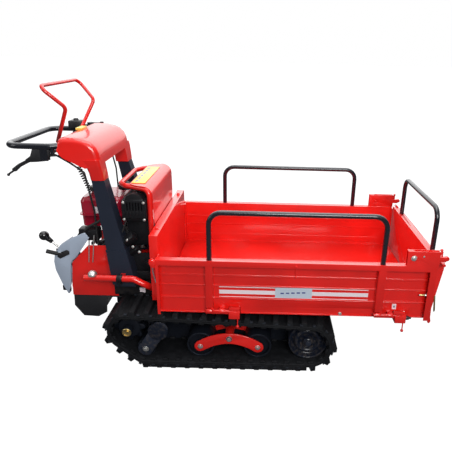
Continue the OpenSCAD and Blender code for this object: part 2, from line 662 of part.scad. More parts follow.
// ---------- Engine guard ----------
module guard_frame() color("#d01412") {
    tube([[guard_front, -205, 500], [guard_front, -205, guard_z], [-430, -155, guard_z],
        [-461, -115, guard_z - 2], [-461, 115, guard_z - 2], [-430, 155, guard_z],
        [guard_front, 205, guard_z], [guard_front, 205, 500]], guard_r, 30, 16, [1, 0, 0]);
    on_both() {
        block([guard_front - 6, 199, 460], [guard_front + 6, 211, 510]);
        block([guard_front - 6, 160, 460], [guard_front + 6, 211, 470]);
        block([guard_front - 6, 160, deck_top], [guard_front + 6, 172, 470]);
    }
}
module guard_panel() color("#d83020") {
    plate_y(-150, 150) polygon([[-418, guard_z + 8], [-350, guard_z + 12], [-326, guard_z + 4],
        [-314, guard_z - 22], [-307, 560], [-310, 560], [-317, guard_z - 22], [-329, guard_z + 1.5],
        [-350, guard_z + 9], [-418, guard_z + 5]]);
    on_both() block([guard_front + 5, 149, 580], [guard_front + 8, 205 - guard_r - gap, 600]);
}
module control_cables() color("#121315") on_both()
    tube([[-711.5, 208, 890], [-688, 208, 890], [-640, 184, 850], [-586, 186, 812], [-574, 190, 740],
        [-566, 172, 640], [-566, 168, 345], [-566, 141, 300], [-566, 141, 250], [-540, 141, 212],
        [-410, 141, 209]], 4, 12, 8, [0, 1, 0]);
module chassis_bolts() color("#c9ccd0") {
    on_both() {
        bar_y(bogie_x, bogie_z, 16, plate_out + 4, plate_out + 8);
        bar_y(idler_x, idler_z, 16, plate_out + 4, plate_out + 8);
        bar_y(tail_x, tail_z, 13, plate_out + 4, plate_out + 9);
        for (x = [-462, -412]) translate([x, rail_y + 17, post_low + 0.5]) cylinder(r = 8, h = 6, $fn = 6);
    }
}

// ---------- Bed ----------
module bed_floor() color("#d81a14") {
    block([bed_rear, -floor_half, floor_z - sheet], [bed_front, floor_half, floor_z]);
}
module bed_subframe() color("#b81210") {
    difference() {
        union() {
            on_both() block([bed_rear + 7, beam_in, arm_z], [bed_front - 8, beam_out, floor_z - sheet]);
            for (x = arm_xs) block([x - arm_w / 2 - 3.5, -sleeve_end, arm_z - 3],
                [x + arm_w / 2 + 3.5, sleeve_end, floor_z - sheet]);
            for (x = [bed_rear + 20, 380]) block([x, -sleeve_end, arm_z + 8],
                [x + 30, sleeve_end, floor_z - sheet]);
            on_both() block([gate_pin_x - 20, beam_in, gate_pin_z - 8], [gate_pin_x, beam_in + 20, gate_pin_z + 8]);
            on_both() bar_y(gate_pin_x, gate_pin_z, gate_pin_r + 3, beam_in, beam_in + 20);
        }
        on_both() block([bed_rear + 12, beam_in + 4, arm_z - 1], [bed_front - 30, beam_out - 4, floor_z - sheet - 4]);
        for (x = arm_xs) block([x - arm_w / 2 - 0.3, -sleeve_end - 1, arm_z - 0.3],
            [x + arm_w / 2 + 0.3, sleeve_end + 1, arm_z + arm_h + 0.3]);
        on_both() bar_y(gate_pin_x, gate_pin_z, gate_pin_r + fit, beam_in - 1, beam_in + 21);
    }
    on_both() {
        block([dump_x - 13, beam_out - 12, dump_z], [dump_x + 13, beam_out, floor_z - sheet]);
        bar_y(dump_x, dump_z, 13, beam_out - 12, beam_out);
    }
    bar_y(dump_x, dump_z, dump_pin_r, -rail_y - 15, rail_y + 15);
}
module head_board() color("#d81a14") {
    block([bed_rear - sheet, -head_half, head_low], [bed_rear, head_half, head_z]);
    block([bed_rear - head_t, -head_half, head_z - sheet], [bed_rear, head_half, head_z]);
    block([bed_rear - head_t, -head_half, head_z - 22], [bed_rear - head_t + sheet, head_half, head_z]);
    on_both() block([bed_rear - head_t, head_half - sheet, floor_z], [bed_rear, head_half, head_z]);
    for (y = [-150, 150]) block([bed_rear - 24, y - 15, 300], [bed_rear - sheet, y + 15, head_z - sheet]);
}
module arm_pair() color("#c81412") for (x = arm_xs) {
    difference() {
        block([x - arm_w / 2, arm_root, arm_z], [x + arm_w / 2, arm_out, arm_z + arm_h]);
        block([x - arm_w / 2 + 3, arm_root - 1, arm_z + 3], [x + arm_w / 2 - 3, arm_out - 3, arm_z + arm_h - 3]);
    }
    bar_x(hinge_u, hinge_z, hinge_rod_r, x - arm_w / 2 - 88, x - arm_w / 2 + 2);
    translate([x + 14, arm_out - 7, arm_z - 38]) cylinder(r = 2.5, h = 39);
    translate([x + 14, arm_out - 7, arm_z - 38]) sphere(r = 6.5);
}
module panel_section() {
    translate([rail_in, skirt_z]) square([sheet, rail_z - skirt_z]);
    translate([rail_in, rail_z - sheet]) square([rail_t, sheet]);
    translate([rail_out - 2.4, rail_z - rail_h]) square([2.4, rail_h]);
    for (z = [rail_z - 76, rail_z - 119, rail_z - 174]) translate([rail_in + sheet - 0.5, z - 3]) square([3, 6]);
    translate([rail_in + sheet - 0.5, skirt_z]) square([5, 4]);
}
module side_panel() color("#d81412") {
    difference() {
        union() {
            translate([bed_rear, 0, 0]) rotate([90, 0, 90]) linear_extrude(bed_len) panel_section();
            for (x = [bed_rear, bed_front - sheet])
                block([x, rail_in, skirt_z], [x + sheet, rail_out, rail_z]);
            block([bed_front - 26, rail_out - 2.4, skirt_z], [bed_front, rail_out, rail_z]);
            block([bed_rear, rail_out - 2.4, skirt_z], [bed_rear + 12, rail_out, rail_z]);
            for (x = rib_xs) difference() {
                block([x - rib_w / 2, rail_in + 1, hinge_z + 14], [x + rib_w / 2, rail_out - 1, rail_z - 1]);
                block([x - rib_w / 2 + rib_t, rail_in + sheet, hinge_z + 16],
                    [x + rib_w / 2 - rib_t, rail_out - 1 - rib_t, rail_z - sheet]);
            }
            for (x = rib_xs, d = [-10, 40]) {
                bar_x(hinge_u, hinge_z, knuckle_r, x + d, x + d + 20);
                block([x + d, rail_in + 1, hinge_z - 8], [x + d + 20, hinge_u, hinge_z + 8]);
            }
            // Corner bracket that carries the tailgate latch
            for (u = [rail_out - 21, rail_out - sheet])
                block([bed_front - bracket_len, u, rail_z - 1], [bed_front + 4, u + sheet, rail_z + bracket_h]);
            block([bed_front - bracket_len, rail_out - 21, rail_z + bracket_h - sheet],
                [latch_x - 8, rail_out, rail_z + bracket_h]);
            bar_y(bed_rear + 560, rail_z - 14, 4, rail_out - 1, rail_out + 7);
        }
        for (x = arm_xs) block([x - arm_w / 2 - 2, rail_in - 1, skirt_z - 1],
            [x + arm_w / 2 + 2, rail_out + 1, arm_z + arm_h + 4]);
        for (x = rib_xs) translate([x, hoop_u, hoop_low - 1]) cylinder(r = hoop_r + 0.4, h = rail_z);
        for (x = rib_xs) bar_x(hinge_u, hinge_z, hinge_rod_r + fit, x - 11, x + 61);
        bar_y(latch_x, latch_z, 6 + fit, rail_out - 30, rail_out + 1);
    }
}
hoop_low = rail_z - 90;
module side_hoop() color("#191a1d") tube([[rib_xs[0], hoop_u, hoop_low], [rib_xs[0], hoop_u, hoop_z],
    [rib_xs[1], hoop_u, hoop_z], [rib_xs[1], hoop_u, hoop_low]], hoop_r, hoop_bend, 20, [0, 1, 0]);
gate_half = tail_w / 2;
tail_hoop_x = gate_x + 21;
module tailgate() color("#d81412") difference() {
    union() {
        block([gate_x, -gate_half, gate_low], [gate_x + sheet, gate_half, gate_top]);
        plate_y(-gate_half, gate_half) polygon([[gate_x, gate_top - sheet], [gate_x, gate_top],
            [gate_x + tail_t, gate_top - 11], [gate_x + tail_t, gate_top - 30],
            [gate_x + tail_t - sheet, gate_top - 30], [gate_x + tail_t - sheet, gate_top - 13.5]]);
        on_both() {
            plate_y(gate_half - sheet, gate_half) polygon([[gate_x, gate_low], [gate_x + 12, gate_low],
                [gate_x + tail_t, gate_top - 40], [gate_x + tail_t, gate_top - 11], [gate_x, gate_top]]);
            block([gate_x, 60, gate_pin_z], [gate_x + 14, 72, gate_low + 20]);
            bar_y(gate_pin_x, gate_pin_z, gate_pin_r + 2, 60, 72);
            block([gate_x + 2, gate_half - 1, gate_low - 14], [gate_x + 12, gate_half + 6, gate_low + 50]);
            bar_y(gate_x + 25, gate_top - 6, 6, gate_half - 1, rail_out - 4);
        }
        bar_y(gate_pin_x, gate_pin_z, gate_pin_r, -beam_in - 26, beam_in + 26);
        for (z = [rail_z - 66, rail_z - 160]) block([gate_x + sheet - 0.5, -gate_half + 3, z - 3],
            [gate_x + sheet + 2.5, gate_half - 3, z + 3]);
        for (y = [-1, 1]) block([gate_x + 1, y * tail_hoop_span / 2 - 15, gate_low + 40],
            [tail_hoop_x + hoop_r + 1.5, y * tail_hoop_span / 2 + 15, gate_low + 52]);
        for (y = [-1, 1]) block([gate_x + 1, y * tail_hoop_span / 2 - 15, gate_top - 60],
            [tail_hoop_x + hoop_r + 3, y * tail_hoop_span / 2 + 15, gate_top - 46]);
    }
    for (y = [-1, 1]) translate([tail_hoop_x, y * tail_hoop_span / 2, gate_low + 50])
        cylinder(r = hoop_r + 0.4, h = gate_top);
}
module tail_hoop() color("#191a1d") tube([[tail_hoop_x, -tail_hoop_span / 2, gate_low + 52],
    [tail_hoop_x, -tail_hoop_span / 2, hoop_z - 6], [tail_hoop_x, tail_hoop_span / 2, hoop_z - 6],
    [tail_hoop_x, tail_hoop_span / 2, gate_low + 52]], hoop_r, hoop_bend, 20, [1, 0, 0]);
module latch() color("#c81412") {
    bar_y(latch_x, latch_z, 6, rail_out - 27, rail_out + 3);
    block([latch_x - 14, rail_out - 17, latch_z - 11], [gate_x + 30, rail_out - 4, latch_z + 9]);
    bar_y(gate_x + 32, latch_z + 2, 9, rail_out - 17, rail_out - 4);
    block([gate_x + 6, rail_out - 13, latch_z + 8], [gate_x + 14, rail_out - 7, latch_z + 32]);
}
module dump_latch() color("#c9ccd0") {
    bar_y(dump_latch_x, dump_latch_z, latch_rod_r, -rail_y + 2, rail_y + rail_w + 10);
    block([dump_latch_x - 8, -40, dump_latch_z - 6], [bed_rear + 4, -30, dump_latch_z]);
    plate_y(rail_y + rail_w + 3, rail_y + rail_w + 9) polygon([[dump_latch_x - 8, dump_latch_z - 8],
        [dump_latch_x + 8, dump_latch_z - 8], [dump_latch_x - 12, 372], [dump_latch_x - 26, 372]]);
    bar_y(dump_latch_x - 19, 372, 9, rail_y + rail_w + 3, rail_y + rail_w + 60);
}

chassis_frame();
on_both() track_frame();  // track_frames
on_right() track_belt();  // track_belt_right
track_belt();  // track_belt_left
transmission_case();
engine_block();
engine_shroud();
muffler();
air_cleaner();
carburettor();
fuel_tank();
drive_belt();
on_both() side_cover();  // side_covers
belly_cover();
control_cover();
on_both() upright();  // uprights
console_cover();
handlebar();
on_both() side_tube();  // side_tubes
guard_frame();
guard_panel();
control_cables();
chassis_bolts();
on_right() sprocket();  // sprocket_right
sprocket();  // sprocket_left
on_right() idler();  // idler_right
idler();  // idler_left
on_right() rocker();  // rocker_right
rocker();  // rocker_left
on_right() bogie_roller(1);  // roller_front_right
on_right() bogie_roller(-1);  // roller_rear_right
bogie_roller(1);  // roller_front_left
bogie_roller(-1);  // roller_rear_left
on_right() tail_roller();  // tail_roller_right
tail_roller();  // tail_roller_left
engine_pulley();
gearbox_pulley();
bed_floor();
bed_subframe();
head_board();
on_right() arm_pair();  // arms_right
arm_pair();  // arms_left
on_right() side_panel();  // side_right
side_panel();  // side_left
on_right() side_hoop();  // hoop_right
side_hoop();  // hoop_left
tailgate();
tail_hoop();
on_right() latch();  // latch_right
latch();  // latch_left
dump_latch();
drive_loop();
on_right() steer_lever();  // steer_right
steer_lever();  // steer_left
throttle_lever();
gear_lever();
slot_lever();
fuel_cap();
starter_grip();
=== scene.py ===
"""Tracked power wheelbarrow: finishes, fittings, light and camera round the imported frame."""
import json
import math

import bmesh
import bpy
from mathutils import Matrix, Vector


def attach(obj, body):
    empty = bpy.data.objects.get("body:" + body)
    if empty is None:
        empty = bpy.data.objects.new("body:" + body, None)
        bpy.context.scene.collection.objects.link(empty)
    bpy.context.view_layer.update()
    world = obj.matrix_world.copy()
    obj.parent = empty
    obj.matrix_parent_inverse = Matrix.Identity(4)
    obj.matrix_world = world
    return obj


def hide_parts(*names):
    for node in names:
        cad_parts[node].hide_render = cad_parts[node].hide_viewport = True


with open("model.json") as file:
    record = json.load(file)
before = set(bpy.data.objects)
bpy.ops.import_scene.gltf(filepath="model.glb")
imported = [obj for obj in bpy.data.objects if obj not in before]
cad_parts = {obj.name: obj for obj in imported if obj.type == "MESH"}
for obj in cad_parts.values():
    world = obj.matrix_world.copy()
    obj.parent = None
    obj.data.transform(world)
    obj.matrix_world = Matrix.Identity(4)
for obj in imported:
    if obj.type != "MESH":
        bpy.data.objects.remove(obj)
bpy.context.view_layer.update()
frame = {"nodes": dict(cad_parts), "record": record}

NODES = frame["nodes"]
MM = 0.001
RIGHT, LEFT = -1, 1
SIDES = ((RIGHT, "right"), (LEFT, "left"))


# ---------------------------------------------------------------- shader tools
class Value:
    """A shader socket that adds Math nodes when it stands in an expression."""

    def __init__(self, finish, socket):
        self.finish = finish
        self.socket = socket

    def math(self, operation, *others):
        inputs = dict(enumerate((self,) + others))
        return self.finish.node("Math", {"operation": operation}, inputs)

    def __add__(self, other):
        return self.math("ADD", other)

    __radd__ = __add__

    def __sub__(self, other):
        return self.math("SUBTRACT", other)

    def __rsub__(self, other):
        return self.finish.node("Math", {"operation": "SUBTRACT"}, {0: other, 1: self})

    def __mul__(self, other):
        return self.math("MULTIPLY", other)

    __rmul__ = __mul__

    def above(self, low, high):
        """0 below low, 1 above high, with a soft step between."""
        return self.finish.node("MapRange", {"interpolation_type": "SMOOTHSTEP"},
                                {"Value": self, "From Min": low, "From Max": high})


class Finish:
    """A material with one Principled shader, built from expressions."""

    def __init__(self, name, colour, roughness=0.5, metallic=0.0, coat=0.0, coat_roughness=0.05):
        self.material = bpy.data.materials.new(name)
        self.material.use_nodes = True
        self.tree = self.material.node_tree
        self.shader = self.tree.nodes["Principled BSDF"]
        self.set("Base Color", (*colour, 1))
        self.set("Roughness", roughness)
        self.set("Metallic", metallic)
        self.set("Coat Weight", coat)
        self.set("Coat Roughness", coat_roughness)
        self.material.diffuse_color = (*colour, 1)
        self.place = self.node("TexCoord", {}, {}, "Object")

    def put(self, socket, value):
        if isinstance(value, Value):
            self.tree.links.new(value.socket, socket)
        else:
            socket.default_value = value

    def set(self, name, value):
        self.put(self.shader.inputs[name], value)

    def node(self, kind, settings, inputs, output=0):
        made = self.tree.nodes.new("ShaderNode" + kind)
        for name, value in settings.items():
            setattr(made, name, value)
        for name, value in inputs.items():
            self.put(made.inputs[name], value)
        return Value(self, made.outputs[output])

    def noise(self, scale, detail=3.0, roughness=0.5):
        return self.node("TexNoise", {}, {"Vector": self.place, "Scale": scale, "Detail": detail,
                                          "Roughness": roughness})

    def cells(self, scale):
        return self.node("TexVoronoi", {}, {"Vector": self.place, "Scale": scale})

    def height(self):
        return self.node("SeparateXYZ", {}, {"Vector": self.place}, 2)

    def edges(self):
        """1 on the rounded edges that soften() made, 0 on flat faces."""
        return self.node("Attribute", {"attribute_name": "edge"}, {}, 2)

    def mix(self, factor, first, second):
        made = self.tree.nodes.new("ShaderNodeMix")
        made.data_type = "RGBA"
        self.put(made.inputs[0], factor)
        for socket, value in ((made.inputs[6], first), (made.inputs[7], second)):
            self.put(socket, value if isinstance(value, Value) else (*value, 1))
        return Value(self, made.outputs[2])

    def bump(self, height, strength, distance):
        self.set("Normal", self.node("Bump", {}, {"Strength": strength, "Distance": distance,
                                                  "Height": height}))


DUST = (0.22, 0.17, 0.12)
CHIPPED = (0.30, 0.28, 0.27)


def shade(colour, amount):
    return tuple(min(1.0, c * amount) for c in colour)


def painted(name, colour, roughness, dust=0.25, chips=0.5, coat=0.6, peel=0.12):
    """Sprayed enamel: orange peel, faint cloudiness, dust low down and chipped edges."""
    f = Finish(name, colour, roughness, coat=coat, coat_roughness=0.06)
    cloud = f.noise(5.0, 4.0)
    grain = f.noise(900.0, 1.0)
    scuff = f.noise(60.0, 6.0, 0.7)
    base = f.mix(cloud.above(0.35, 0.7), shade(colour, 0.9), shade(colour, 1.06))
    low = 1 - f.height().above(0.05, 0.42)
    dusty = low * scuff.above(0.42, 0.75) * dust
    base = f.mix(dusty, base, DUST)
    worn = f.edges() * scuff.above(0.62, 0.7) * chips
    base = f.mix(worn, base, CHIPPED)
    f.set("Base Color", base)
    f.set("Roughness", roughness + 0.1 * scuff.above(0.5, 0.8) + 0.35 * dusty + 0.2 * worn)
    f.set("Coat Weight", coat - 0.5 * coat * dusty - coat * 0.8 * worn)
    f.bump(f.noise(330.0, 1.0) * 0.5 + grain * 0.2, peel, 0.0004)
    return f.material


def cast_metal(name, colour, roughness, metallic=0.6, grit=0.5):
    f = Finish(name, colour, roughness, metallic)
    cloud = f.noise(18.0, 5.0, 0.6)
    sand = f.noise(700.0, 2.0)
    dirt = cloud.above(0.45, 0.75)
    base = f.mix(dirt, shade(colour, 1.15), shade(colour, 0.55))
    base = f.mix(f.edges() * f.noise(90.0, 4.0).above(0.5, 0.62) * 0.6, base, shade(colour, 3.0))
    f.set("Base Color", base)
    f.set("Roughness", roughness + 0.18 * dirt)
    f.set("Metallic", metallic - 0.4 * dirt)
    f.bump(sand + 0.6 * f.noise(160.0, 3.0), grit, 0.0006)
    return f.material


def plated(name, colour, roughness=0.22, tint=None):
    f = Finish(name, colour, roughness, 1.0)
    haze = f.noise(120.0, 4.0, 0.6)
    f.set("Base Color", f.mix(haze.above(0.4, 0.75), colour, tint or shade(colour, 0.7)))
    f.set("Roughness", roughness + 0.2 * haze.above(0.45, 0.8))
    f.bump(f.noise(800.0, 2.0), 0.1, 0.0002)
    return f.material


def moulded(name, colour, roughness, grain=420.0, strength=0.25):
    f = Finish(name, colour, roughness)
    patches = f.noise(9.0, 4.0)
    f.set("Base Color", f.mix(patches.above(0.4, 0.7), colour, shade(colour, 1.5)))
    f.set("Roughness", roughness + 0.12 * patches.above(0.4, 0.75))
    f.bump(f.cells(grain), strength, 0.0004)
    return f.material


def track_rubber(name):
    colour = (0.006, 0.0065, 0.008)
    f = Finish(name, colour, 0.62)
    scrub = f.noise(34.0, 6.0, 0.7)
    flecks = f.noise(260.0, 4.0, 0.7)
    dust = (1 - f.height().above(0.0, 0.06)) * scrub.above(0.35, 0.7)
    base = f.mix(scrub.above(0.45, 0.8), colour, (0.012, 0.013, 0.016))
    base = f.mix(0.5 * dust * flecks.above(0.4, 0.6), base, (0.035, 0.035, 0.040))
    base = f.mix(0.5 * f.edges() * flecks.above(0.5, 0.65), base, (0.030, 0.032, 0.040))
    f.set("Base Color", base)
    f.set("Roughness", 0.55 + 0.25 * scrub)
    f.bump(flecks + 0.4 * f.noise(900.0, 2.0), 0.45, 0.0008)
    return f.material


def bare_sheet(name, colour):
    """Printed film: almost flat, with a very slight print grain."""
    f = Finish(name, colour, 0.35, coat=0.3, coat_roughness=0.1)
    speck = f.noise(300.0, 3.0)
    f.set("Base Color", f.mix(speck.above(0.4, 0.8), colour, shade(colour, 0.9)))
    f.set("Roughness", 0.3 + 0.15 * speck)
    f.bump(speck, 0.05, 0.0002)
    return f.material


RED = (0.78, 0.012, 0.008)
PAINT = {
    "red": painted("red_enamel", RED, 0.30, dust=0.06, chips=0.3),
    "post_blue": painted("post_enamel", (0.018, 0.023, 0.038), 0.36, chips=0.2, coat=0.12, peel=0.2),
    "black_tube": painted("black_tube_enamel", (0.008, 0.010, 0.016), 0.26, chips=0.25, coat=0.5, dust=0.08),
    "track_rubber": track_rubber("track_rubber"),
    "belt_rubber": moulded("cable_sleeve", (0.012, 0.012, 0.013), 0.5, 900.0, 0.1),
    "black_iron": cast_metal("black_iron", (0.010, 0.012, 0.018), 0.42, 0.35, 0.35),
    "engine_alloy": cast_metal("engine_alloy", (0.09, 0.092, 0.10), 0.45, 0.7, 0.6),
    "engine_black": painted("engine_enamel", (0.010, 0.010, 0.012), 0.45, chips=0.4, coat=0.2, peel=0.3),
    "black_plastic": moulded("black_plastic", (0.014, 0.014, 0.016), 0.42),
    "tank_crimson": painted("tank_enamel", (0.36, 0.006, 0.026), 0.22, chips=0.2, dust=0.1),
    "cover_grey": painted("cover_enamel", (0.40, 0.47, 0.58), 0.35, dust=0.10, chips=0.3),
    "bright_steel": plated("chrome", (0.78, 0.79, 0.82), 0.12),
    "zinc": plated("zinc", (0.86, 0.86, 0.84), 0.42, (0.62, 0.60, 0.54)),
    "brass_zinc": plated("yellow_zinc", (0.72, 0.55, 0.24), 0.3, (0.45, 0.33, 0.14)),
    "white_film": bare_sheet("white_film", (0.88, 0.78, 0.82)),
    "pale_film": bare_sheet("pale_film", (0.55, 0.63, 0.72)),
    "yellow_film": bare_sheet("yellow_film", (0.85, 0.62, 0.10)),
    "blue_film": bare_sheet("blue_film", (0.03, 0.05, 0.25)),
    "grey_film": bare_sheet("grey_film", (0.25, 0.27, 0.32)),
    "core_grey": cast_metal("core_grey", (0.020, 0.023, 0.030), 0.5, 0.3, 0.3),
    "wheel_blue": painted("wheel_enamel", (0.005, 0.008, 0.017), 0.30, chips=0.2, coat=0.3),
    "gloss_black": painted("knob_black", (0.006, 0.006, 0.007), 0.18, dust=0, chips=0, coat=0.6, peel=0.02),
}
MATT = ("track_rubber", "black_iron", "engine_black", "post_blue", "wheel_blue", "core_grey")
MATT_SPECULAR = 0.2
for paint in MATT:
    shader = PAINT[paint].node_tree.nodes["Principled BSDF"]
    shader.inputs["Specular IOR Level"].default_value = MATT_SPECULAR
SLOT_OF = {row["node"]: row["material_slot"] for row in frame["record"]["subparts"]}
BODY_OF = {node: body for body, nodes in frame["record"]["behaviour"]["bodies"].items()
           for node in nodes}


# ---------------------------------------------------------------- mesh tools
EDGE_ANGLE, CORNER_ANGLE, ARC_STEPS = 38.0, 30.0, 8


def link(made):
    bpy.context.scene.collection.objects.link(made)


def bevel(bm, edges, width, segments=2):
    """Rounds edges with an arc; the width is in metres."""
    return bmesh.ops.bevel(bm, geom=edges, offset=width, offset_type="OFFSET", segments=segments,
                           profile=0.5, affect="EDGES", clamp_overlap=True, material=-1)


def piece(name, bm, paint, body, smooth=35.0):
    """Finishes a bmesh as a piece that rides on a body."""
    mesh = bpy.data.meshes.new(name)
    bm.to_mesh(mesh)
    bm.free()
    mesh.materials.append(PAINT[paint])
    for face in mesh.polygons:
        face.use_smooth = True
    mesh.set_sharp_from_angle(angle=math.radians(smooth))
    made = bpy.data.objects.new(name, mesh)
    link(made)
    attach(made, body)
    return made


def round_edges(bm, width):
    """Rounds every sharp outer edge, and marks the new faces for wear."""
    layer = bm.loops.layers.float.get("edge") or bm.loops.layers.float.new("edge")
    sharp = [e for e in bm.edges if len(e.link_faces) == 2 and e.is_convex
             and e.calc_face_angle(0) > math.radians(EDGE_ANGLE)]
    made = bevel(bm, sharp, width)
    for face in made["faces"]:
        for loop in face.loops:
            loop[layer] = 1.0


def soften(node, width):
    """A copy of a CAD node with rounded edges, which stands for it."""
    bm = bmesh.new()
    bm.from_mesh(NODES[node].data)
    bmesh.ops.remove_doubles(bm, verts=bm.verts, dist=2e-5)
    bmesh.ops.dissolve_limit(bm, angle_limit=math.radians(0.6), verts=bm.verts, edges=bm.edges)
    if width:
        round_edges(bm, width * MM)
    made = piece(node + "_skin", bm, SLOT_OF[node], BODY_OF[node])
    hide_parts(node)


# ---------------------------------------------------------------- making pieces
def place(*point):
    return Vector(point) * MM


class Work:
    """A bmesh under construction; lengths are in millimetres."""

    def __init__(self):
        self.bm = bmesh.new()

    def round_off(self, verts, width, segments=2):
        edges = list({e for v in verts for e in v.link_edges
                      if len(e.link_faces) == 2 and e.calc_face_angle(0) > math.radians(CORNER_ANGLE)})
        bevel(self.bm, edges, width * MM, segments)

    def box(self, low, high, width=0, segments=2):
        size = [abs(b - a) for a, b in zip(low, high)]
        middle = [(a + b) / 2 for a, b in zip(low, high)]
        verts = bmesh.ops.create_cube(self.bm, size=1)["verts"]
        bmesh.ops.scale(self.bm, vec=place(*size), verts=verts)
        bmesh.ops.translate(self.bm, vec=place(*middle), verts=verts)
        if width:
            self.round_off(verts, width, segments)

    def bar(self, start, end, radius, radius2=None, steps=20, width=0):
        """A round or, with few steps, a polygonal bar or cone between two points."""
        a, b = place(*start), place(*end)
        turn = (b - a).to_track_quat("Z", "Y").to_matrix().to_4x4()
        radius2 = radius if radius2 is None else radius2
        verts = bmesh.ops.create_cone(self.bm, cap_ends=True, segments=steps, radius1=radius * MM,
                                      radius2=radius2 * MM, depth=(b - a).length,
                                      matrix=Matrix.Translation((a + b) / 2) @ turn)["verts"]
        if width:
            self.round_off(verts, width)

    def ball(self, centre, radius, steps=20):
        bmesh.ops.create_uvsphere(self.bm, u_segments=steps, v_segments=steps // 2, radius=radius * MM,
                                  matrix=Matrix.Translation(place(*centre)))

    def bolt(self, at, axis, across=13, height=6, washer=True):
        """A hexagon head with a chamfer, standing on a washer."""
        axis = Vector(axis).normalized()
        foot = Vector(at)
        if washer:
            self.bar(foot, foot + axis * 1.5, across * 0.78, steps=24, width=0.4)
            foot = foot + axis * 1.5
        self.bar(foot, foot + axis * height, across * 0.577, steps=6, width=0.9)
        self.bar(foot + axis * height * 0.5, foot + axis * (height + 0.6), across * 0.42, across * 0.36, 20)

    def turned(self, profile, at, axis, steps=48):
        """Turns (distance along the axis, radius) points about an axis."""
        axis = Vector(axis).normalized()
        out = axis.orthogonal().normalized()
        at = Vector(at)
        verts = [self.bm.verts.new((at + axis * d + out * r) * MM) for d, r in profile]
        edges = [self.bm.edges.new(pair) for pair in zip(verts, verts[1:])]
        bmesh.ops.spin(self.bm, geom=verts + edges, cent=at * MM, axis=axis, angle=2 * math.pi,
                       steps=steps, use_merge=True, dvec=(0, 0, 0), space=Matrix.Identity(4))

    def plate(self, outline, y0, y1, width=0):
        """A flat plate with an outline of (x, z) points, between two distances along Y."""
        verts = [self.bm.verts.new(place(x, y0, z)) for x, z in outline]
        face = self.bm.faces.new(verts)
        made = bmesh.ops.extrude_face_region(self.bm, geom=[face])["geom"]
        far = [v for v in made if isinstance(v, bmesh.types.BMVert)]
        bmesh.ops.translate(self.bm, vec=place(0, y1 - y0, 0), verts=far)
        if width:
            self.round_off(verts + far, width)

    def loft(self, rings, closed=True, caps=True):
        """Joins rings of as many points each, in order."""
        loops = [[self.bm.verts.new(place(*p)) for p in ring] for ring in rings]
        count = len(loops[0])
        for first, second in zip(loops, loops[1:]):
            for k in range(count if closed else count - 1):
                n = (k + 1) % count
                self.bm.faces.new((first[k], first[n], second[n], second[k]))
        if caps:
            self.bm.faces.new(loops[0])
            self.bm.faces.new(loops[-1])

    def done(self, name, paint, body, smooth=35.0):
        bmesh.ops.remove_doubles(self.bm, verts=self.bm.verts, dist=1e-6)
        bmesh.ops.recalc_face_normals(self.bm, faces=self.bm.faces)
        return piece(name, self.bm, paint, body, smooth)


def rounded(route, bend):
    """The route with each inner corner cut by a curve that starts bend before it."""
    points = [Vector(route[0])]
    for a, b, c in zip(route, route[1:], route[2:]):
        a, b, c = Vector(a), Vector(b), Vector(c)
        start = b + (a - b).normalized() * min(bend, (a - b).length * 0.49)
        end = b + (c - b).normalized() * min(bend, (c - b).length * 0.49)
        for k in range(ARC_STEPS + 1):
            t = k / ARC_STEPS
            points.append(start * (1 - t) ** 2 + b * 2 * t * (1 - t) + end * t * t)
    return points + [Vector(route[-1])]


def pipe(name, route, radius, paint, body, bend=0.0, sides=5, closed=False):
    """A round tube, rod or cable along a route."""
    data = bpy.data.curves.new(name, "CURVE")
    data.dimensions = "3D"
    data.bevel_depth = radius * MM
    data.bevel_resolution = sides
    data.use_fill_caps = True
    points = rounded(route, bend) if bend else [Vector(p) for p in route]
    spline = data.splines.new("POLY")
    spline.points.add(len(points) - 1)
    for slot, point in zip(spline.points, points):
        slot.co = (*(point * MM), 1)
    spline.use_cyclic_u = closed
    spline.use_smooth = True
    data.materials.append(PAINT[paint])
    made = bpy.data.objects.new(name, data)
    link(made)
    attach(made, body)
    return made


def film(name, side, areas, y, paint, body, thick=0.35):
    """Thin printed film on a panel that faces sideways; areas are (x0, x1, z0, z1)."""
    work = Work()
    for x0, x1, z0, z1 in areas:
        work.box((x0, side * y, z0), (x1, side * (y + thick), z1))
    return work.done(name, paint, body)


# ---------------------------------------------------------------- CAD nodes
ROUNDING = {
    "chassis_frame": 1.5, "track_frames": 2.0, "transmission_case": 4.0, "engine_block": 1.5,
    "engine_shroud": 2.5, "muffler": 6.0, "air_cleaner": 9.0, "carburettor": 2.0, "side_covers": 0.8,
    "belly_cover": 1.2, "control_cover": 1.2, "handlebar": 1.0, "side_tubes": 1.0, "guard_frame": 1.0,
    "bed_floor": 0.8, "bed_subframe": 1.2, "head_board": 1.0, "arms": 1.5,
    "side": 0.8, "hoop": 0, "tail_hoop": 0, "tailgate": 0.9, "latch": 2.0, "dump_latch": 1.0,
    "rocker": 1.6, "sprocket": 1.2, "roller_front": 2.0, "roller_rear": 2.0, "tail_roller": 1.5,
    "drive_loop": 0, "steer": 1.6, "throttle_lever": 1.2, "slot_lever": 0, "fuel_cap": 2.0,
    "fuel_tank": 0, "starter_grip": 2.0, "engine_pulley": 0.8, "gearbox_pulley": 0.8,
    "drive_belt": 0.8, "control_cables": 0, "track_belt": 1.6, "uprights": 7.0,
    "idler": 2.0, "gear_lever": 0, "chassis_bolts": 0.8,
}
REMADE = {"idler", "gear_lever", "chassis_bolts", "console_cover", "guard_panel"}
for node in sorted(NODES):
    stem = node.replace("_right", "").replace("_left", "")
    if stem not in REMADE:
        soften(node, ROUNDING[stem])


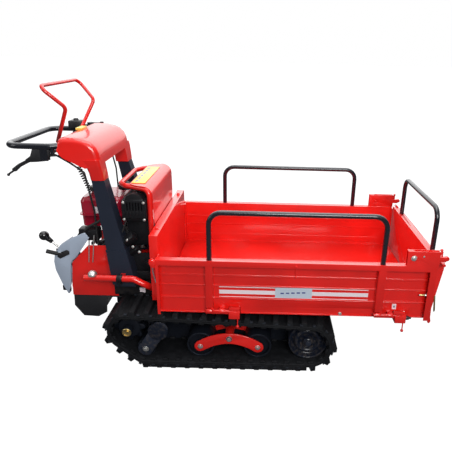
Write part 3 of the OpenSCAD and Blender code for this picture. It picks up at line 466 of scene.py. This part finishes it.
# ---------------------------------------------------------------- tracks
SPROCKET, IDLER, TAIL = (-407, 171, 68), (365, 121, 86), (-338, 75, 40)
BELT_T, TRACK_IN, TRACK_OUT, LUGS = 15, 199, 379, 40
TAIL_STAY, BOGIE = (-283, 162), (23, 135)
ROLLER_REACH, ROLLER_Z, PLATE_OUT = 124, 95, 350.4


def belt_route():
    """Straight and curved stretches of the belt's inside, as functions of the distance along it."""
    wheels = [SPROCKET, IDLER, TAIL]
    leave = []
    for a, b in zip(wheels, wheels[1:] + wheels[:1]):
        gap = math.hypot(b[0] - a[0], b[1] - a[1])
        leave.append(math.atan2(b[1] - a[1], b[0] - a[0]) + math.acos((a[2] - b[2]) / gap))
    parts = []
    for k, (x, z, r) in enumerate(wheels):
        turn = leave[k - 1] + (2 * math.pi if leave[k - 1] < leave[k] else 0)
        parts.append(("arc", (x, z, r), turn, leave[k], (turn - leave[k]) * (r + BELT_T / 2)))
        nx, nz, nr = wheels[(k + 1) % 3]
        c, s = math.cos(leave[k]), math.sin(leave[k])
        start, end = (x + r * c, z + r * s), (nx + nr * c, nz + nr * s)
        parts.append(("run", (start, end), leave[k], leave[k], math.dist(start, end)))
    return parts


def belt_places(count, shift=0.5):
    """(x, z, outward angle) at equal steps along the inside of the belt."""
    parts = belt_route()
    total = sum(p[4] for p in parts)
    places = []
    for k in range(count):
        s = (k + shift) * total / count
        for kind, shape, a0, a1, size in parts:
            if s <= size:
                break
            s -= size
        f = s / size
        if kind == "arc":
            angle = a0 + (a1 - a0) * f
            x, z, r = shape
            places.append((x + r * math.cos(angle), z + r * math.sin(angle), angle))
        else:
            (x0, z0), (x1, z1) = shape
            places.append((x0 + (x1 - x0) * f, z0 + (z1 - z0) * f, a0))
    return places


def on_belt(work, spot, along, y, rise, width=2.0):
    """A rounded block on the belt: half length along it, (y0, y1), (height0, height1) off its inside."""
    x, z, angle = spot
    before = len(work.bm.verts)
    work.box((-along, y[0], rise[0]), (along, y[1], rise[1]), width)
    work.bm.verts.ensure_lookup_table()
    verts = work.bm.verts[before:]
    tilt = Matrix.Rotation(math.pi / 2 - angle, 4, "Y")
    bmesh.ops.transform(work.bm, matrix=Matrix.Translation(place(x, 0, z)) @ tilt, verts=verts)


def track_detail(side, name):
    horns, pads = Work(), Work()
    for spot in belt_places(LUGS):
        for y0, y1 in ((TRACK_OUT - 17, TRACK_OUT - 4), (TRACK_IN + 4, TRACK_IN + 15)):
            on_belt(horns, spot, 12, sorted((side * y0, side * y1)), (-10, 2), 3)
    for spot in belt_places(LUGS):
        for y0, y1 in ((TRACK_OUT - 12, TRACK_OUT + 1.2), (TRACK_IN - 1.2, TRACK_IN + 12)):
            on_belt(pads, spot, 7, sorted((side * y0, side * y1)), (BELT_T + 1, BELT_T + 8), 2.5)
    horns.done("belt_guides_" + name, "track_rubber", "chassis")
    pads.done("belt_cores_" + name, "core_grey", "chassis")
    route = belt_places(220)
    for k, rise in enumerate((3.5, 11.5)):
        for tag, y in (("outer", TRACK_OUT - 0.6), ("inner", TRACK_IN + 0.6)):
            line = [(x + rise * math.cos(a), side * y, z + rise * math.sin(a)) for x, z, a in route]
            pipe(f"belt_edge_{tag}_{k}_{name}", line, 1.8, "track_rubber", "chassis", sides=2, closed=True)


def track_backing(side, name):
    """A dark sheet inside the belt's loop, which is painted shade there, and a rubber strip along the belt's
    lowest run that fills the gaps between the lugs as painted contact shadow.
    """
    # Painted shade: a dark sheet that fills the inside of the belt's loop.
    sheet = Work()
    outline = [(x + 3 * math.cos(a), z + 3 * math.sin(a)) for x, z, a in belt_places(90)]
    sheet.plate(outline, side * 200.5, side * 203.5)
    sheet.done("track_backing_" + name, "black_iron", "chassis")
    # Painted contact shadow: a dark rubber strip along the ground that fills the gaps between the lugs.
    shadow_strip = Work()
    shadow_strip.box((-330, side * 203, 0.8), (362, side * 377, 20.5), 2)
    shadow_strip.done("track_tread_" + name, "track_rubber", "chassis")
    stay = Work()
    x, z = TAIL_STAY
    stay.bar((x, side * 343.5, z), (x, side * PLATE_OUT, z), 42, steps=48, width=1.2)
    stay.done("tail_plate_end_" + name, "wheel_blue", "chassis")


def idler_wheel(side, name):
    work = Work()
    x, z, r = IDLER
    work.turned([(241, 13), (241, 60), (246, 66), (241, 74), (241, r - 3), (243, r - 0.6), (335, r - 0.6),
                 (337, r - 2.5), (337, r - 7), (335, r - 9), (322, r - 11), (316, r - 15), (314, 66),
                 (318, 62), (330, 58), (334, 53), (335, 47), (332, 41), (324, 36), (322, 33), (322, 13)],
                (x, 0, z), (0, side, 0), 72)
    made = work.done("idler_wheel_" + name, "wheel_blue", "idler_" + name, 50)
    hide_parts("idler_" + name)
    cap = Work()
    cap.turned([(320, 0), (320, 24), (338, 24), (344, 21), (347, 14), (348, 0)], (x, 0, z), (0, side, 0), 40)
    cap.done("idler_cap_" + name, "wheel_blue", "idler_" + name, 50)


def running_gear(side, name):
    body = "rocker_" + name
    bolts = Work()
    for x in (BOGIE[0] - ROLLER_REACH, BOGIE[0] + ROLLER_REACH):
        bolts.bolt((x, side * 350, ROLLER_Z), (0, side, 0), 15, 6)
    bolts.done("roller_bolts_" + name, "zinc", body)
    pin = Work()
    pin.bolt((BOGIE[0], side * PLATE_OUT, BOGIE[1]), (0, side, 0), 17, 6.5)
    x, z, _ = TAIL
    pin.bolt((x, side * PLATE_OUT, z), (0, side, 0), 17, 5)
    pin.bar((x, side * 340, z), (x, side * 351, z), 9)
    pin.done("axle_bolts_" + name, "zinc", "chassis")
    hub = Work()
    x, z, _ = SPROCKET
    hub.turned([(372, 19.5), (376, 19.5), (377.5, 18), (377.5, 14), (375, 13), (374, 11), (374, 0)],
               (x, 0, z), (0, side, 0), 40)
    hub.bolt((x, side * 373, z), (0, side, 0), 13, 3.5, washer=False)
    hub.done("sprocket_nut_" + name, "brass_zinc", "sprocket_" + name)
    foot = Work()
    for x in (-462, -412):
        foot.bolt((x, side * 167, 330.5), (0, 0, 1), 15, 7)
    return foot.done("post_bolts_" + name, "zinc", "chassis")


for side, name in SIDES:
    track_detail(side, name)
    track_backing(side, name)
    idler_wheel(side, name)
    bolts = running_gear(side, name)
    if side == RIGHT:
        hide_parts("chassis_bolts")


# ---------------------------------------------------------------- bed sides
PANEL_Y, PIN_Y, PIN_Z, STOP_Y, STOP_Z = 360, 373, 384, 383, 282


def side_fittings(side, name):
    body = "side_" + name
    # The two upper strips are print; the lowest strip, just above the low bead, is a painted highlight along
    # the bead's top.
    print_and_highlight = [(-16, 596, 390.5, 394), (-16, 596, 361, 379), (-16, 596, 346.5, 349.5)]
    film("side_stripes_" + name, side, print_and_highlight, PANEL_Y, "white_film", body)
    film("side_plate_" + name, side, [(214, 365, 345, 395)], PANEL_Y + 0.4, "pale_film", body)
    mark = [(236 + 22 * k, 250 + 22 * k, 366 + 1.2 * k, 372 + 1.2 * k) for k in range(5)]
    film("side_mark_" + name, side, mark, PANEL_Y + 0.8, "blue_film", body)
    film("side_label_" + name, side, [(700, 717, 308, 333)], PANEL_Y + 0.2, "white_film", body)
    film("side_label_mark_" + name, side, [(705, 712, 316, 325)], PANEL_Y + 0.6, "grey_film", body)
    bright = Work()
    bright.bolt((487, side * PANEL_Y, 280), (0, side, 0), 10, 4)
    bright.bar((800, side * PIN_Y, PIN_Z), (852, side * PIN_Y, PIN_Z), 2.6)
    bright.bar((822, side * PIN_Y, PIN_Z), (834, side * PIN_Y, PIN_Z), 6, width=1.5)
    bright.bolt((754, side * 387, 553), (0, side, 0), 15, 5)
    bright.bar((792, side * 386.5, 561), (792, side * 388, 561), 4, width=0.6)
    bright.done("side_bolts_" + name, "zinc", body)
    brass = Work()
    brass.bar((802, side * PIN_Y, PIN_Z), (822, side * PIN_Y, PIN_Z), 3.4, 5, width=0.5)
    brass.done("side_pin_" + name, "brass_zinc", body)
    red = Work()
    red.bar((294, side * 366, 500), (294, side * 366, 452), 3)
    red.ball((294, side * 366, 448), 5.5)
    for z in (447, 399, 341):
        red.bar((-255, side * PANEL_Y, z), (845, side * PANEL_Y, z), 3.4, steps=12)
    for x in (-44, 649):
        red.bolt((x, side * 386, 299), (0, 0, 1), 9, 5)
    for x in (-54, 639):
        red.box((x - 16, side * 372, 281), (x + 78, side * 386.5, 284), 1)
        red.box((x - 16, side * 384.5, 281), (x + 78, side * 387.5, 300), 1)
    red.plate([(-267, 484), (-267, 512), (-282, 520), (-292, 514), (-294, 500), (-288, 488), (-279, 484)],
              side * 376, side * 380, 1)
    red.plate([(-267, 484), (-267, 512), (-278, 516), (-288, 512), (-290, 500), (-284, 488), (-277, 484)],
              side * 387, side * 390, 1)
    red.done("side_hooks_" + name, "red", body)
    pipe("side_catch_" + name, [(-279, side * 378, 512), (-279, side * 384, 500), (-277, side * 385, 462),
                                (-268, side * 385, 418)], 2.6, "bright_steel", body, 8)
    stop = Work()
    stop.bar((753, side * STOP_Y, STOP_Z), (768, side * STOP_Y, STOP_Z), 9, 8, width=2)
    stop.bar((766, side * STOP_Y, STOP_Z), (777, side * STOP_Y, STOP_Z), 5, width=1)
    stop.done("side_stopper_" + name, "black_plastic", body)
    flange = Work()
    flange.box((-267, side * 323, 300), (-264, side * 357, 515))
    flange.box((850, side * 340, 303), (853, side * 357, 515))
    flange.box((-262, side * 348, 299), (850, side * 357, 302))
    for z in (399, 442):
        flange.box((-258, side * 354.8, z - 3), (846, side * 357.4, z + 3), 0.9)
    flange.done("side_flange_" + name, "red", body)
    # Upright tabs over the arm ends; they ride the arms and stand clear of them
    tabs = Work()
    for x in (48.5, 722.5):
        tabs.box((x - 22, side * 389, 299), (x + 22, side * 393, 315), 1.2)
    tabs.done("arm_tabs_" + name, "red", "arms_" + name)


def gate_fittings(side, name):
    strip = Work()
    strip.plate([(872, 370), (878, 368), (886, 300), (882, 290), (878, 300), (872, 362)],
                side * 346, side * 348.5, 0.5)
    strip.done("gate_strip_" + name, "brass_zinc", "tailgate")
    tongue = Work()
    tongue.plate([(857, 322), (866, 322), (868, 270), (872, 250), (866, 240), (858, 246), (856, 270)],
                 side * 351.5, side * 356, 1.5)
    tongue.done("gate_tongue_" + name, "red", "tailgate")
    knob = Work()
    knob.ball((863, side * 372, 584), 6)
    knob.done("latch_knob_" + name, "red", "latch_" + name)


for side, name in SIDES:
    side_fittings(side, name)
    gate_fittings(side, name)

top_bolts = Work()
for side, _ in SIDES:
    top_bolts.bolt((-284, side * 250, 595), (0, 0, 1), 12, 5)
top_bolts.done("head_board_bolts", "red", "bed")


# ---------------------------------------------------------------- levers
def gear_stick():
    work = Work()
    foot, ball = Vector((-700, -156, 418)), Vector((-806, -156, 514))
    way = (ball - foot).normalized()
    work.bar(foot, foot + way * 112, 4.5)
    work.bar((-700, -165, 418), (-700, -136, 418), 5)
    work.bar((-700, -163, 418), (-700, -150.4, 418), 10, width=1)
    stick = work.done("gear_stick", "zinc", "gear_lever")
    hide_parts("gear_lever")
    knob = Work()
    reach = (ball - foot).length
    knob.turned([(reach - 44, 0), (reach - 44, 7), (reach - 42, 9), (reach - 30, 10.5), (reach - 20, 12)]
                + [(reach + 21 * math.sin(a), 21 * math.cos(a))
                   for a in (math.radians(d) for d in range(-52, 91, 10))] + [(reach + 21, 0)],
                foot, way, 40)
    knob.done("gear_knob", "gloss_black", "gear_lever", 60)


gear_stick()
rod = Work()
rod.bar((-706, -178, 434), (-734, -211.5, 456), 5.4)
rod.done("slot_rod", "zinc", "slot_lever")


# ---------------------------------------------------------------- console and engine guard
# Outer line of the console from the arch over the back, each with the side's lower edge below it
CONSOLE_LINE = [((-507, 852), (-566, 838)), ((-510, 875), (-582, 845)), ((-514, 898), (-597, 852)),
                ((-524, 922), (-612, 860)), ((-542, 940), (-630, 868)), ((-566, 951), (-645, 875)),
                ((-600, 957), (-655, 882)), ((-636, 958), (-662, 888)), ((-660, 957), (-668, 896)),
                ((-669, 951), (-671, 908)), ((-674, 936), (-673, 914)), ((-675, 918), (-673, 906)),
                ((-669, 900), (-668, 897))]
CONSOLE_TOP, CONSOLE_SIDE, SHOULDER, SHOULDER_OUT, LEG_IN = 204, 225, 24, 12, 140


def console_row(top, low):
    """Points across the hood: up one side, round its shoulder, over the top and down again."""
    top, low = Vector(top), Vector(low)
    deep = (low - top).length
    way = (low - top) / deep
    bend = min(SHOULDER, deep * 0.8)
    half = [(CONSOLE_SIDE, deep)]
    for k in range(ARC_STEPS + 1):
        a = math.radians(90 * k / ARC_STEPS)
        half.append((CONSOLE_TOP + SHOULDER_OUT - bend + bend * math.cos(a), bend - bend * math.sin(a)))
    half += [(CONSOLE_TOP * f, 0) for f in (0.7, 0.4, 0.15)]
    across = half + [(-y, d) for y, d in reversed(half)]
    return [(top.x + way.x * d, y, top.y + way.y * d) for y, d in across]


def console():
    rows = [console_row(top, low) for top, low in CONSOLE_LINE]
    shell = Work()
    shell.loft(rows, closed=False, caps=False)
    bmesh.ops.recalc_face_normals(shell.bm, faces=shell.bm.faces)
    bmesh.ops.solidify(shell.bm, geom=list(shell.bm.faces), thickness=3 * MM)
    made = shell.done("console_hood", "red", "chassis", 60)
    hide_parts("console_cover")
    legs = Work()
    for side, _ in SIDES:
        rings = []
        for z, x0, x1, wide in ((786, -556, -499, 212), (815, -559, -502, 216), (850, -568, -507, 222),
                                (872, -584, -511, 222)):
            inner, outer = side * LEG_IN, side * wide
            rings.append([(x0, inner, z), (x1, inner, z), (x1, outer, z), (x0, outer, z)])
        before = len(legs.bm.verts)
        legs.loft(rings)
        legs.bm.verts.ensure_lookup_table()
        corner = {e for v in legs.bm.verts[before:] for e in v.link_edges
                  if abs(e.verts[0].co.z - e.verts[1].co.z) > 0.01}
        bevel(legs.bm, list(corner), 12 * MM, 4)
    legs.done("console_legs", "red", "chassis", 40)
    tag = Work()
    tag.box((-672, -14, 956), (-646, 56, 966), 1.5)
    tag.done("console_tag", "yellow_film", "chassis")
    switch = Work()
    switch.box((-770, 146, 936), (-706, 196, 972), 6)
    switch.bar((-738, 170, 971), (-738, 170, 981), 13, 10, width=1.5)
    switch.done("switch_box", "black_plastic", "chassis")


GUARD_BEND = (-348, 722, 43)


def guard_sheet():
    """The sheet over the engine: flat on the hoop, then curved down to the bed."""
    line = [(-408, 764.7, 170), (-390, 764.8, 185), (-370, 765, 197), (-348, 765, 204)]
    x, z, r = GUARD_BEND
    for k in range(1, ARC_STEPS + 1):
        a = math.radians(90 - 90 * k / ARC_STEPS)
        line.append((x + r * math.cos(a), z + r * math.sin(a), 205))
    line += [(-304.6, 680, 205), (-304.4, 620, 205), (-304.2, 560, 176)]
    work = Work()
    work.loft([[(x, y * half, z) for y in (-1, -0.6, -0.2, 0.2, 0.6, 1)] for x, z, half in line],
              closed=False, caps=False)
    bmesh.ops.recalc_face_normals(work.bm, faces=work.bm.faces)
    bmesh.ops.solidify(work.bm, geom=list(work.bm.faces), thickness=1.6 * MM)
    made = work.done("guard_sheet", "red", "chassis", 40)
    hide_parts("guard_panel")
    plate = Work()
    plate.box((-402, -162, 765.6), (-344, 125, 768), 0.4)
    plate.done("guard_plate", "yellow_film", "chassis")
    lines = Work()
    for k in range(6):
        lines.box((-392, -146 + 44 * k, 767.6), (-380, -116 + 44 * k, 768.3), 0.2)
    lines.done("guard_plate_marks", "grey_film", "chassis")


console()
guard_sheet()


# ---------------------------------------------------------------- posts and engine details
POST_FOOT, POST_HEAD = 330, 792


def post_corner(height, wide, thick):
    """The four corners of the right post's section at a height, grown outwards."""
    t = (height - POST_FOOT) / (POST_HEAD - POST_FOOT)
    x0, x1 = -480 + (-546 + 480) * t - wide, -394 + (-508 + 394) * t + wide
    y0, y1 = 190 + (152 - 190) * t - thick, 250 + (207 - 250) * t + thick
    return [(x0, y0, height), (x1, y0, height), (x1, y1, height), (x0, y1, height)]


def post_skin(side, name):
    """The post's drawn sheet, and the sleeve round its foot."""
    for tag, low, high, radius, segments in (("skin", (332, 4, 1), (786, 7, 1), 9, 4),
                                             ("sleeve", (332, 8, 4), (488, 8, 4), 8, 3)):
        work = Work()
        work.loft([[(x, side * y, z) for x, y, z in post_corner(*ends)] for ends in (low, high)])
        work.round_off(list(work.bm.verts), radius, segments)
        work.done(f"post_{tag}_{name}", "post_blue", "chassis")


def cable_wrap():
    a, b = Vector((-605, -192, 839)), Vector((-567, -192, 733))
    way = (b - a).normalized()
    out = way.orthogonal().normalized()
    other = way.cross(out)
    turns, steps = 11, 12
    points = []
    for k in range(turns * steps + 1):
        turn = 2 * math.pi * k / steps
        points.append(a + (b - a) * k / (turns * steps) + (out * math.cos(turn) + other * math.sin(turn)) * 8)
    pipe("cable_wrap", points, 2.4, "black_plastic", "chassis", sides=2)


def engine_details():
    for k, route in enumerate((
            [(-470, -152, 640), (-540, -172, 600), (-612, -176, 560), (-640, -160, 480)],
            [(-452, -150, 560), (-500, -180, 520), (-560, -184, 470), (-590, -170, 400)],
            [(-430, -190, 600), (-452, -206, 540), (-470, -200, 470), (-520, -180, 430)],
            [(-610, -120, 560), (-660, -150, 520), (-668, -166, 470), (-640, -176, 420)])):
        pipe(f"engine_hose_{k}", route, (6, 5, 4, 5)[k], "belt_rubber", "chassis", 30)
    for k, route in enumerate((
            [(-592, -200, 516), (-603, -200, 412)], [(-568, -200, 540), (-586, -200, 412)],
            [(-406, -124, 449), (-429, -124, 409)])):
        pipe(f"engine_rod_{k}", route, (2.6, 2.6, 4)[k], "zinc", "chassis")
    bright = Work()
    bright.turned([(0, 0), (0, 19), (6, 19), (12, 17), (19, 10), (22, 0)], (-560, -284, 391), (0, 0, 1), 32)
    for k in range(8):
        a = math.radians(45 * k + 10)
        bright.bolt((-510 + 84 * math.cos(a), -133, 408 + 84 * math.sin(a)), (0, -1, 0), 8, 4)
    for x, z in ((-462, 498), (-420, 530), (-398, 500), (-372, 476)):
        bright.bolt((x, -222, z), (0, -1, 0), 8, 4)
    for x, z in ((-424, 626), (-340, 626), (-424, 700), (-340, 700)):
        bright.bolt((x, -226.5, z), (0, -1, 0), 8, 4)
    bright.done("engine_bolts", "zinc", "chassis")
    dark = Work()
    dark.bar((-458, -284, 378), (-434, -284, 378), 18, width=2)
    dark.box((-452, -296, 350), (-440, -272, 378), 2)
    dark.turned([(712, 0), (712, 30), (724, 30), (736, 24), (744, 12), (746, 0)],
                (-459, -60, 0), (0, 0, 1), 32)
    dark.box((-745, -190, 424), (-678, -188, 468))
    dark.box((-648, -172, 500), (-560, -120, 556), 8)
    dark.box((-500, -204, 257), (-300, -197, 327), 2)
    dark.box((-440, -178, 300), (-300, -170, 452), 3)
    dark.box((-430, -196, 330), (-330, -176, 372), 6)
    dark.bar((-345, -190, 400), (-345, -170, 400), 26, width=3)
    dark.bar((-345, -196, 400), (-345, -188, 400), 12, width=2)
    dark.bar((-478, -196, 478), (-392, -206, 548), 24, steps=4, width=3)
    dark.bar((-452, -190, 430), (-380, -200, 490), 16, steps=4, width=3)
    dark.turned([(622, 0), (622, 46), (630, 50), (648, 50), (655, 44), (655, 0)],
                (-385, -168, 0), (0, 0, 1), 40)
    dark.box((-740, -190, 262), (-702, -180, 288), 4)
    for k in range(7):
        dark.box((-426 + 14 * k, -230, 640), (-420 + 14 * k, -226, 662), 1)
    for k in range(5):
        dark.box((-440, -82 - 12 * k, 470), (-350, -76 - 12 * k, 600), 1)
    dark.done("engine_fittings", "engine_black", "chassis")
    pale = Work()
    pale.box((-387, -205.5, 270), (-362, -204, 294))
    pale.box((-576, -151.4, 622), (-536, -150.2, 652), 0.3)
    pale.done("engine_stickers", "white_film", "chassis")


def slot_rim():
    """The dark sleeve round the cover's slot."""
    work = Work()
    turn = math.radians(27)
    c, s = math.cos(turn), math.sin(turn)
    outline = [(-30, 0), (-24, -12), (24, -12), (32, 0), (24, 12), (-24, 12)]
    work.plate([(-712 + x * c - z * s, 446 + x * s + z * c) for x, z in outline], -199.2, -200.2, 0.3)
    work.done("slot_rim", "black_plastic", "chassis")


def lever_fittings(side, name):
    cheeks = Work()
    for y in (202, 217.5):
        cheeks.plate([(-704, 914), (-772, 914), (-784, 884), (-806, 868), (-796, 858), (-760, 860),
                      (-712, 866)], side * y, side * (y + 3.5), 1)
    cheeks.done("lever_cheeks_" + name, "black_plastic", "chassis")
    pipe("lever_tip_" + name, [(-850, side * 212, 828), (-872, side * 212, 814), (-888, side * 212, 803)],
         4, "black_plastic", "steer_" + name)
    ball = Work()
    ball.ball((-887, side * 212, 802.5), 6)
    ball.done("lever_ball_" + name, "black_plastic", "steer_" + name)
    pipe("lever_cable_" + name, [(-712, side * 212, 884), (-680, side * 210, 886), (-650, side * 205, 888)],
         3.2, "belt_rubber", "chassis")


for side, name in SIDES:
    post_skin(side, name)
    lever_fittings(side, name)
slot_rim()
cable_wrap()
engine_details()


# ---------------------------------------------------------------- stage and camera
CAMERA_AT, CAMERA_TURN = (159.85, -2084.03, 1316.56), (-0.12, 20.16, 1.50)
SKY_ALL, SKY_BACK, SKY_TOP = 0.05, 1.8, 0.9
# Each glow: the direction, where it starts and is full, and its strength
GLOWS = (((0, 0.80, 0.60), 0.45, 0.95, SKY_BACK), ((0, 0, 1), 0.3, 1.0, SKY_TOP))


def camera():
    """A camera at eye height, ahead of the machine's right side, looking a little down."""
    data = bpy.data.cameras.new("camera")
    made = bpy.data.objects.new("camera", data)
    link(made)
    yaw, pitch, roll = (math.radians(a) for a in CAMERA_TURN)
    ahead = Vector((-math.sin(yaw) * math.cos(pitch), math.cos(yaw) * math.cos(pitch), -math.sin(pitch)))
    right = Vector((math.cos(yaw), math.sin(yaw), 0))
    up = right.cross(ahead)
    right, up = (right * math.cos(roll) + up * math.sin(roll), up * math.cos(roll) - right * math.sin(roll))
    turn = Matrix((right, up, -ahead)).transposed().to_4x4()
    made.matrix_world = Matrix.Translation(Vector(CAMERA_AT) * MM) @ turn
    data.lens = 37.69
    data.sensor_width = 36.0
    data.shift_x = -0.0857
    data.shift_y = -0.0111
    bpy.context.scene.camera = made


def lamp(name, at, target, size, power):
    data = bpy.data.lights.new(name, "AREA")
    data.shape = "RECTANGLE"
    data.size, data.size_y = size
    data.energy = power
    made = bpy.data.objects.new(name, data)
    link(made)
    made.location = at
    made.rotation_euler = (Vector(target) - Vector(at)).to_track_quat("-Z", "Y").to_euler()


def seen(tree, lit, white=(1, 1, 1, 1)):
    """A colour that is white to the camera, and lights the machine as lit."""
    path = tree.nodes.new("ShaderNodeLightPath")
    mix = tree.nodes.new("ShaderNodeMix")
    mix.data_type = "RGBA"
    tree.links.new(path.outputs["Is Camera Ray"], mix.inputs["Factor"])
    if isinstance(lit, tuple):
        mix.inputs["A"].default_value = lit
    else:
        tree.links.new(lit, mix.inputs["A"])
    mix.inputs["B"].default_value = white
    return mix.outputs["Result"]


def sky():
    """A sky that is bright behind the machine and overhead, and dim at the viewer's side."""
    world = bpy.data.worlds.new("studio")
    world.use_nodes = True
    tree = world.node_tree
    ray = tree.nodes.new("ShaderNodeTexCoord")
    total = None
    for toward, start, end, bright in GLOWS:
        dot = tree.nodes.new("ShaderNodeVectorMath")
        dot.operation = "DOT_PRODUCT"
        dot.inputs[1].default_value = toward
        tree.links.new(ray.outputs["Generated"], dot.inputs[0])
        ramp = tree.nodes.new("ShaderNodeMapRange")
        ramp.interpolation_type = "SMOOTHSTEP"
        for key, value in (("From Min", start), ("From Max", end), ("To Min", 0.0), ("To Max", bright)):
            ramp.inputs[key].default_value = value
        tree.links.new(dot.outputs["Value"], ramp.inputs["Value"])
        add = tree.nodes.new("ShaderNodeMath")
        add.operation = "ADD"
        tree.links.new(ramp.outputs["Result"], add.inputs[0])
        if total is None:
            add.inputs[1].default_value = SKY_ALL
        else:
            tree.links.new(total, add.inputs[1])
        total = add.outputs["Value"]
    back = tree.nodes["Background"]
    tree.links.new(seen(tree, total), back.inputs["Color"])
    back.inputs["Strength"].default_value = 1.0
    bpy.context.scene.world = world


def studio():
    floor = bmesh.new()
    bmesh.ops.create_grid(floor, x_segments=1, y_segments=1, size=40)
    mesh = bpy.data.meshes.new("floor")
    floor.to_mesh(mesh)
    floor.free()
    made = bpy.data.objects.new("floor", mesh)
    f = Finish("studio_floor", (0.06, 0.06, 0.065), 0.9)
    f.set("Emission Strength", 1.0)
    f.tree.links.new(seen(f.tree, (0, 0, 0, 1)), f.shader.inputs["Emission Color"])
    mesh.materials.append(f.material)
    link(made)
    sky()
    bpy.context.scene.view_settings.view_transform = "Standard"
    lamp("sky_panel", (0.2, -0.2, 3.6), (0.1, 0, 0.4), (2.6, 2.0), 45)
    lamp("front_panel", (0.9, -3.6, 2.3), (0.2, 0, 0.5), (1.8, 1.4), 98)
    lamp("left_panel", (-3.0, -1.6, 1.6), (-0.4, 0, 0.6), (1.2, 1.2), 10)


camera()
studio()
